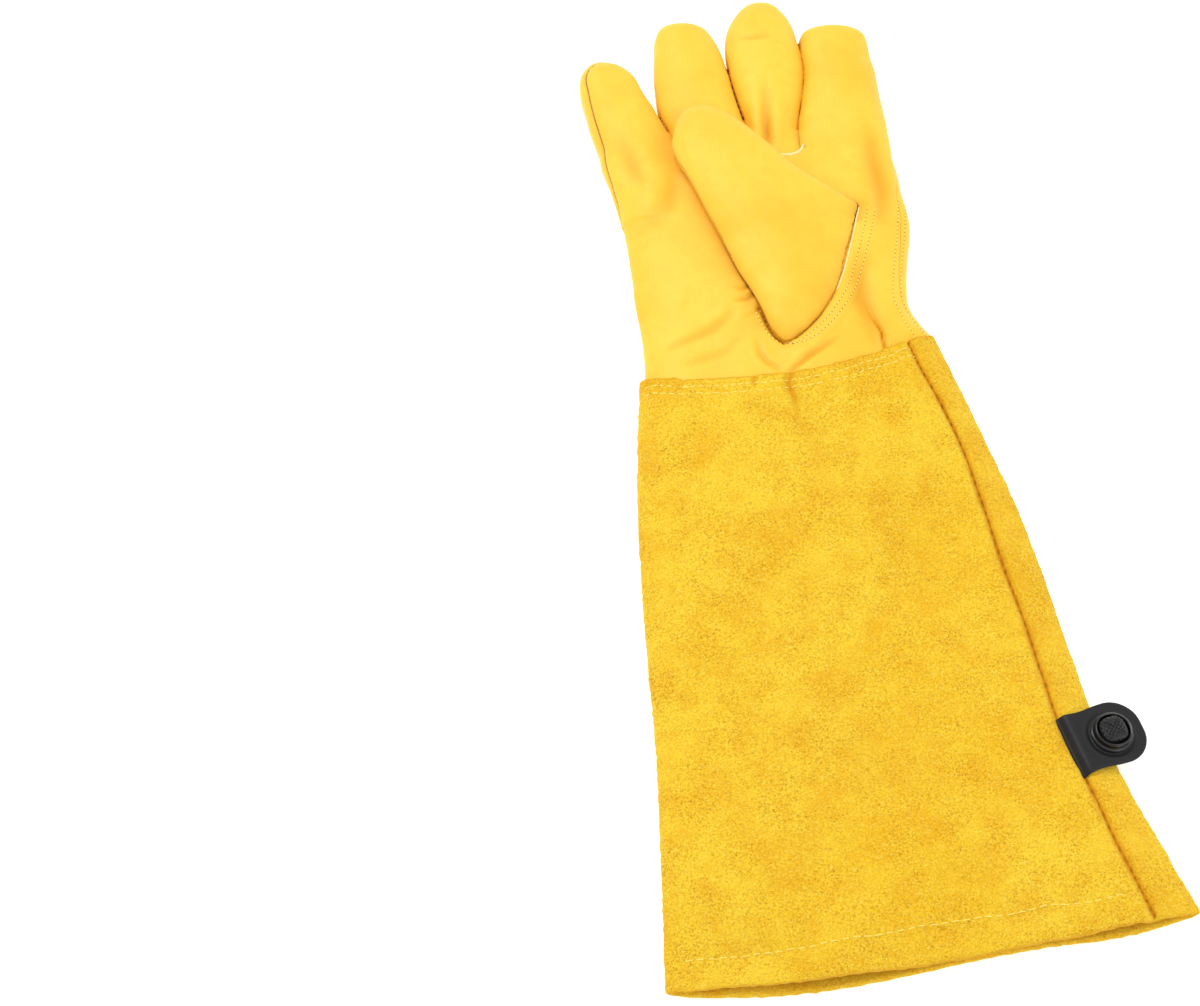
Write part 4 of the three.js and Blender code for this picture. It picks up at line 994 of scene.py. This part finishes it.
def make_cuff():
    half = CUFF_HALF[0]
    before = CUFF_SEAM - np.array([0, 0.5, 1.0, 1.5, 2.1, 2.8, 3.6, 4.6]) / half
    beyond = CUFF_SEAM + np.array([3.0, 2.2, 1.6, 1.0, 0.5]) / half
    top_run = np.concatenate([before, cuff_columns(before[-1] - 0.014, -1, 96)[:-1]])
    low_run = cuff_columns(-1, 1, 84)[:-1]
    side_run = np.concatenate([cuff_columns(1, CUFF_SEAM + 0.045, 12), beyond])
    down, inset = cuff_rings()
    seam = seam_across(down)
    top_c = -1 + (top_run + 1) * (seam + 1) / (CUFF_SEAM + 1)
    side_c = 1 - (1 - side_run) * (1 - seam) / (1 - CUFF_SEAM)
    c = np.concatenate([top_c, np.broadcast_to(low_run, (len(down), len(low_run))), side_c], 1)
    columns = c.shape[1]
    past_top = np.arange(columns) - len(top_run)
    upper = (past_top < 0) | (past_top >= len(low_run))
    rough = np.random.default_rng(21).normal(size=columns)
    rough = np.convolve(np.concatenate([rough, rough[:4]]), [0.3, 0.4, 0.3], "same")[:columns]
    ragged = 0.35 * np.exp(-np.abs(down) / 2.0) * rough
    points = cuff_point(down + ragged, c, upper, inset).reshape(-1, 3)
    a = np.arange(c.size).reshape(c.shape)
    b = np.roll(a, -1, 0)
    faces = np.stack([a, np.roll(a, -1, 1), np.roll(b, -1, 1), b], -1).reshape(-1, 4)
    nap = 0.1 * ripples(points, 3.2, 31, 24) + 0.12 * ripples(points, 7, 32)
    points = points + normals_of(points, faces) * nap[:, None]
    points[:, 2] = np.maximum(points[:, 2], 0.02)
    painted_shade = cuff_painted_shade(down, c, upper, inset).ravel()
    piece("cuff_suede", points, faces, SUEDE, "suede", "cuff", painted_shade=painted_shade)


# Sewing
def spaced(line, pitch):
    """Places at an even pitch on a line of points, and the directions there."""
    line = np.array(line, float)
    reached = reached_along(line)
    at = np.arange(pitch / 2, reached[-1], pitch)
    spots, ahead, behind = (
        np.stack([np.interp(at + shift, reached, column) for column in line.T], 1)
        for shift in (0, pitch / 4, -pitch / 4)
    )
    return spots, unit(ahead - behind)


def curved(line, count=80):
    """A smooth line through a few points."""
    line = np.array(line, float)
    reached = reached_along(line)
    at = np.linspace(0, reached[-1], count)
    return np.stack([read({"at": reached, "value": column}, "value", at) for column in line.T], 1)


def relaxed_line(line, rounds=6):
    for _ in range(rounds):
        line = np.concatenate([line[:1], (line[:-2] + 2 * line[1:-1] + line[2:]) / 4, line[-1:]])
    return line


def rings_faces(rings, sides):
    """Triangles through rings of points, with closed ends."""
    base = np.arange(rings * sides).reshape(rings, sides)
    a, b = base[:-1], base[1:]
    an, bn = np.roll(a, -1, 1), np.roll(b, -1, 1)
    faces = [np.stack([a, bn, b], -1).reshape(-1, 3), np.stack([a, an, bn], -1).reshape(-1, 3)]
    first = [(base[0, 0], base[0, k + 1], base[0, k]) for k in range(1, sides - 1)]
    last = [(base[-1, 0], base[-1, k], base[-1, k + 1]) for k in range(1, sides - 1)]
    return np.concatenate([*faces, np.array(first + last)])


def joined(meshes):
    """The points and faces of several meshes as one."""
    shifts = np.cumsum([0] + [len(points) for points, _ in meshes[:-1]])
    faces = [faces + shift for (_, faces), shift in zip(meshes, shifts)]
    return np.concatenate([points for points, _ in meshes]), np.concatenate(faces)


def stitches(spots, ways, normals, length, radius, rise):
    """Short bent threads that dip into the leather at both ends."""
    sides, rings = 7, 7
    t = np.linspace(-1, 1, rings)[:, None]
    turn = np.linspace(0, 2 * math.pi, sides, endpoint=False)
    thick = radius * np.sqrt(np.maximum(1 - (0.96 * t) ** 6, 0.02))
    along = t * length / 2 * np.ones(sides)
    high = rise - (rise + 0.9 * radius) * t**4 + thick * np.sin(turn)
    points = spots[:, None, None]
    for size, way in ((along, ways), (thick * np.cos(turn), unit(np.cross(normals, ways))), (high, normals)):
        points = points + size[None, ..., None] * way[:, None, None]
    shift = np.arange(len(spots))[:, None, None] * rings * sides
    return points.reshape(-1, 3), (rings_faces(rings, sides)[None] + shift).reshape(-1, 3)


class Ground:
    """Finds the uppermost leather under a place."""

    def __init__(self, *meshes):
        points, faces = joined(meshes)
        self.tree = BVHTree.FromPolygons(points.tolist(), faces.tolist())

    def seat(self, spots):
        hits = [self.tree.ray_cast(Vector((x, y, 90.0)), Vector((0, 0, -1))) for x, y in spots]
        return np.array([hit[0] for hit in hits]), np.array([hit[1] for hit in hits])


def beside(line, *distances):
    """A line set off to the left of another one by distances that change along it, smoothed at corners."""
    line = curved(line)
    evenly = np.linspace(0, 1, len(distances))
    distance = np.interp(np.linspace(0, 1, len(line)), evenly, distances)[:, None]
    way = unit(np.gradient(line, axis=0))
    return relaxed_line(line + np.stack([-way[:, 1], way[:, 0]], 1) * distance, 40)


LEATHER_ROWS = [
    beside(THUMB_SEAM, 4.4, 4.4, 4.2, 3.8, 2.6),
    beside(THUMB_FOOT, 7.8, 7.8, 7.6, 7.2, 6.2, 3.4, 2.2),
    [(56, 93), (55, 75), (53.4, 61), (52, 48), (52, 38), (54, 32), (57, 24.5), (60, 19), (61, 13)],
    [(59.3, 91), (58.4, 75), (56.8, 61), (55.6, 50), (56, 40), (59, 31), (63, 24), (66, 19), (68, 14)],
]


def sew_leather(ground, pitch=2.1, length=1.5, radius=0.2):
    """Stitch rows along lines on the leather, with a dark strip between stitches as painted shade in the
    needle hole.
    """
    threads = []
    hole_shades = []
    for line in LEATHER_ROWS:
        spots, ways = spaced(curved(line), pitch)
        seats, normals = ground.seat(spots)
        ways = np.pad(ways, ((0, 0), (0, 1)))
        ways = unit(ways - (ways * normals).sum(1)[:, None] * normals)
        threads.append(stitches(seats, ways, normals, length, radius, rise=0.06))
        between = seats + ways * pitch / 2
        hole_shades.append(stitches(between, ways, normals, pitch - length, radius * 1.15, rise=-0.2 * radius))
    piece("leather_stitches", *joined(threads), YELLOW_THREAD, "grain_leather")
    piece("leather_stitch_hole_shades", *joined(hole_shades), HOLE_SHADE, "grain_leather")


def cuff_row(down, start, end, pitch, length, wander=0):
    """A row of stitches at a distance from the cuff's upper edge. It can wander as the hem's does."""
    across = np.linspace(start, end, 200)
    wobble = 0.25 * np.sin(across * 23) + 0.15 * np.sin(across * 51)
    wobble = wobble + wander * read(HEM_ROW, "lower", (across + 1) / 2)
    spots, ways = spaced(cuff_point(down + wobble, across, True), pitch)
    normals = unit(np.array([0, 0, 1.0]) - ways[:, 2:] * ways)
    return stitches(spots, ways, normals, length, radius=0.26, rise=0.1)


def sew_cuff():
    upper, lower, hem = STITCH_ROWS
    rows = [
        cuff_row(upper, -0.97, 0.8, pitch=3.5, length=2.7),
        cuff_row(lower, -0.97, 0.8, pitch=3.9, length=3.0),
        cuff_row(hem, -0.93, 0.76, pitch=4.6, length=3.4, wander=1),
    ]
    piece("cuff_stitches", *joined(rows), THREAD, "cream_edge")


WELT_RADIUS = 0.75
THUMB_WELT_RADIUS = 0.42
WELT_SIDES = 14
FINGER_WELT = [
    (-10, 112.8), (-4, 113.1), (2, 113.4), (7.7, 113.9), (11.2, 115.7), (13.3, 118.6), (14.1, 121.2),
]


def make_welt(name, line, radius, node):
    """A round strip of slightly uneven thickness along a line of points, with closed ends."""
    count = len(line)
    way = unit(np.gradient(line, axis=0))
    side = unit(np.cross(way, [0, 0, 1.0]))
    rise = np.cross(side, way)
    turn = np.linspace(0, 2 * math.pi, WELT_SIDES, endpoint=False)[:, None]
    tapered = np.minimum(1, np.sqrt(np.linspace(0.15, 3, count) * np.linspace(3, 0.15, count)))
    radii = radius * tapered * (1 + 0.08 * np.sin(np.arange(count) * 1.7))
    ring = np.cos(turn) * side[:, None] + np.sin(turn) * rise[:, None]
    points = (line[:, None] + ring * radii[:, None, None]).reshape(-1, 3)
    piece(name, points, rings_faces(count, WELT_SIDES), CREAM, "cream_edge", node)


def make_welts(ground):
    seats, _ = ground.seat(curved(FINGER_WELT, 60))
    seats[:, 2] += 0.35 * WELT_RADIUS
    make_welt("finger_welt_cord", relaxed_line(seats), WELT_RADIUS, "finger_welt")
    along = np.linspace(59, 22, 60)
    rim, _ = ground.seat(thumb_edge("right", along) + [0.25, -0.1])
    level = thumb_level(read(THUMB, "right", along), along) - 0.5
    rim[:, 2] = np.maximum(rim[:, 2] + 0.1, level)
    make_welt("thumb_welt_cord", relaxed_line(rim), THUMB_WELT_RADIUS, "thumb_welt")


# Tab and button
TAB_DOWN = 192.8  # where the tab's upper corner meets the seam, down the cuff
TAB_LENGTH = 33.0
TAB_HALF = 14.3
TAB_CORNER = 12.5
TAB_THICK = 2.2
TAB_TOP = 18.2
TAB_ROOT = -1.9  # where it ends under the cuff's seam
TAB_DROOP = 0.15
TAB_TILT = 0.045
BUTTON_PLACE = (18.4, -0.3)
BUTTON_OUTLINE = table("radius height", [
    (0.0, 1.2), (6.5, 1.2), (6.7, 1.5), (6.75, 3.4), (6.85, 3.9), (7.1, 4.25), (7.5, 4.4),
    (7.9, 4.2), (8.1, 3.8), (8.2, 2.2), (8.3, 1.75), (8.6, 1.5), (9.0, 1.35), (9.15, 1.1),
    (9.15, 0.6), (9.0, 0.3), (8.6, 0.15), (0.0, 0.15),
])
BORE_FLOOR = 1.25
TAPE_HALF = 5.8


def seam_place(down):
    """A place on the cuff's seam."""
    return cuff_point(np.array(down), seam_across(down), True)


def tab_axes():
    """The tab's starting point, and the ways out from the seam and across."""
    upper = seam_place(TAB_DOWN)[:2]
    along = seam_place(TAB_DOWN + 2 * TAB_HALF)[:2] - upper
    along /= np.linalg.norm(along)
    out = np.array([-along[1], along[0]])
    return upper + along * TAB_HALF, out, -along


def tab_surface(out, across):
    """Height of the middle of the tab's thickness."""
    root = 3.2 * line_shade(np.maximum(out + 0.5, 0), 2.2) + 0.9 * np.maximum(-out - 0.5, 0)
    lean = TAB_TILT * across + 0.5 * (across / TAB_HALF) ** 2
    return TAB_TOP - TAB_THICK / 2 - TAB_DROOP * np.maximum(out, 0) - root + lean


def tab_half(out):
    """Half of the tab's width, with its round corners and a waist beyond the seam."""
    past = np.clip((out - (TAB_LENGTH - TAB_CORNER)) / TAB_CORNER, 0, 1)
    waist = 0.8 * line_shade(out - 9, 6)
    return TAB_HALF - waist - TAB_CORNER * (1 - np.sqrt(1 - past**2))


def make_tab():
    start, ahead, aside = tab_axes()
    straight = np.linspace(TAB_ROOT, TAB_LENGTH - TAB_CORNER, 90)[:-1]
    reach = np.sin(np.linspace(0, math.pi / 2, 22))
    outs = np.concatenate([straight, TAB_LENGTH - TAB_CORNER * (1 - reach)])
    turn = np.linspace(0, 2 * math.pi, 96, endpoint=False)
    c = np.sign(np.cos(turn)) * np.abs(np.cos(turn)) ** 0.55
    side = np.sign(np.sin(turn)) * np.abs(np.sin(turn)) ** 0.75
    out = np.repeat(outs[:, None], len(turn), 1)
    across = tab_half(out) * c
    thin = np.sqrt(np.clip((TAB_LENGTH + 0.02 - out) / 0.9, 0.03, 1))
    high = tab_surface(out, across) + TAB_THICK / 2 * side * thin
    radius = np.hypot(out - BUTTON_PLACE[0], across - BUTTON_PLACE[1])
    pressed = 0.35 * line_shade(radius - 9.8, 0.6) - 0.15 * line_shade(radius - 11.2, 0.9)
    high = high - np.where(side > 0.3, pressed, 0)
    flat = start + out[..., None] * ahead + across[..., None] * aside
    points = np.concatenate([flat, high[..., None]], -1).reshape(-1, 3)
    faces = rings_faces(*out.shape)
    piece("tab_leather", points, faces, BLACK_LEATHER, "black_leather", "tab", sharp=60)


def on_tab(local):
    """Points given from the button's middle on the tab, in the shapes' own frame."""
    start, ahead, aside = tab_axes()
    lean = math.atan(TAB_DROOP)
    out = BUTTON_PLACE[0] + local[:, 0] * math.cos(lean) + local[:, 2] * math.sin(lean)
    high = local[:, 2] * math.cos(lean) - local[:, 0] * math.sin(lean)
    seat = float(tab_surface(np.array(BUTTON_PLACE[0]), np.array(BUTTON_PLACE[1]))) + TAB_THICK / 2
    flat = start + out[:, None] * ahead + (BUTTON_PLACE[1] + local[:, 1])[:, None] * aside
    return np.concatenate([flat, high[:, None] + seat], 1)


def make_button():
    sides = 96
    turn = np.linspace(0, 2 * math.pi, sides, endpoint=False)
    radius = np.maximum(BUTTON_OUTLINE["radius"][::-1, None], 0.01)
    height = BUTTON_OUTLINE["height"][::-1, None] + 0 * turn
    points = on_tab(np.stack([radius * np.cos(turn), radius * np.sin(turn), height], -1).reshape(-1, 3))
    faces = rings_faces(len(radius), sides)
    piece("button_ring", points, faces, BLACK_PLASTIC, "black_plastic", "button", sharp=40)


def make_button_tape():
    """A folded length of woven tape that fills the button's bore."""
    count = 90
    side = np.linspace(-1, 1, count)
    u, v = np.meshgrid(side, side, indexing="ij")
    square = np.maximum(np.abs(u), np.abs(v))
    rounding = square / np.maximum((np.abs(u) ** 3 + np.abs(v) ** 3) ** (1 / 3), 1e-6)
    arch = 4.0 + 0.7 * (1 - u**2) + 0.2 * v + 0.3 * np.sin(3 * u + 2 * v) * (1 - v**2)
    weave = 0.5 * np.sin(u * 17) * np.sin(v * 17) + 0.1 * np.sin(u * 52 + v * 13)
    high = (arch + weave) * (1 - square**8) ** 0.28 + BORE_FLOOR
    across = [share * rounding * TAPE_HALF for share in (u, v)]
    top = np.stack([*across, np.maximum(high, BORE_FLOOR + 0.05)], -1).reshape(-1, 3)
    bottom = top * [1, 1, 0] + [0, 0, BORE_FLOOR]
    number = np.arange(count * count).reshape(count, count)
    corners = (number[:-1, :-1], number[1:, :-1], number[1:, 1:], number[:-1, 1:])
    a, b, c, d = (corner.ravel() for corner in corners)
    faces = np.concatenate([np.stack([a, b, c], 1), np.stack([a, c, d], 1)])
    points, faces = doubled(top, bottom, faces)
    piece("button_tape_woven", on_tab(points), faces, BLACK_TAPE, "black_tape", "button_tape")


hand = make_hand()
thumb = make_thumb()
make_cuff()
sew_leather(Ground(hand, thumb))
sew_cuff()
make_welts(Ground(hand))
make_tab()
make_button()
make_button_tape()


# Studio
def make_floor():
    mesh = bpy.data.meshes.new("floor")
    corners = [(x, y, -0.0002) for x, y in ((-3, -3), (3, -3), (3, 3), (-3, 3))]
    mesh.from_pydata(corners, [], [(0, 1, 2, 3)])
    finish = Finish("floor", 0.8, Specular_IOR_Level=0.2, Base_Color=(0.86, 0.86, 0.86, 1),
                    Emission_Color=(1, 1, 1, 1), Emission_Strength=0.55)
    mesh.materials.append(finish.material)
    floor = bpy.data.objects.new("floor", mesh)
    bpy.context.scene.collection.objects.link(floor)


def make_light(name, place, size, power):
    """A square light that shines on the middle of the scene."""
    data = bpy.data.lights.new(name, "AREA")
    data.size = size
    data.energy = power
    light = bpy.data.objects.new(name, data)
    light.location = place
    light.rotation_euler = (-Vector(place)).to_track_quat("-Z", "Y").to_euler()
    bpy.context.scene.collection.objects.link(light)


def make_studio():
    make_floor()
    make_light("key", (-0.9, 0.9, 2.0), size=1.4, power=26)
    make_light("fill", (1.4, -0.8, 1.8), size=1.8, power=12)
    world = bpy.data.worlds.new("studio")
    world.use_nodes = True
    world.node_tree.nodes["Background"].inputs["Color"].default_value = (1, 1, 1, 1)
    world.node_tree.nodes["Background"].inputs["Strength"].default_value = 0.75
    bpy.context.scene.world = world
    bpy.context.scene.view_settings.view_transform = "Standard"


def make_camera():
    data = bpy.data.cameras.new("camera")
    data.sensor_fit = "HORIZONTAL"
    data.sensor_width = 36.0
    data.lens = 117.3
    camera = bpy.data.objects.new("camera", data)
    aim = Vector((-0.1171, -0.01404, 0.0))
    elevation = math.radians(60)
    distance = 1.7
    camera.location = aim + distance * Vector((0, -math.cos(elevation), math.sin(elevation)))
    camera.rotation_euler = (math.pi / 2 - elevation, 0, 0)
    bpy.context.scene.collection.objects.link(camera)
    bpy.context.scene.camera = camera


make_studio()
make_camera()
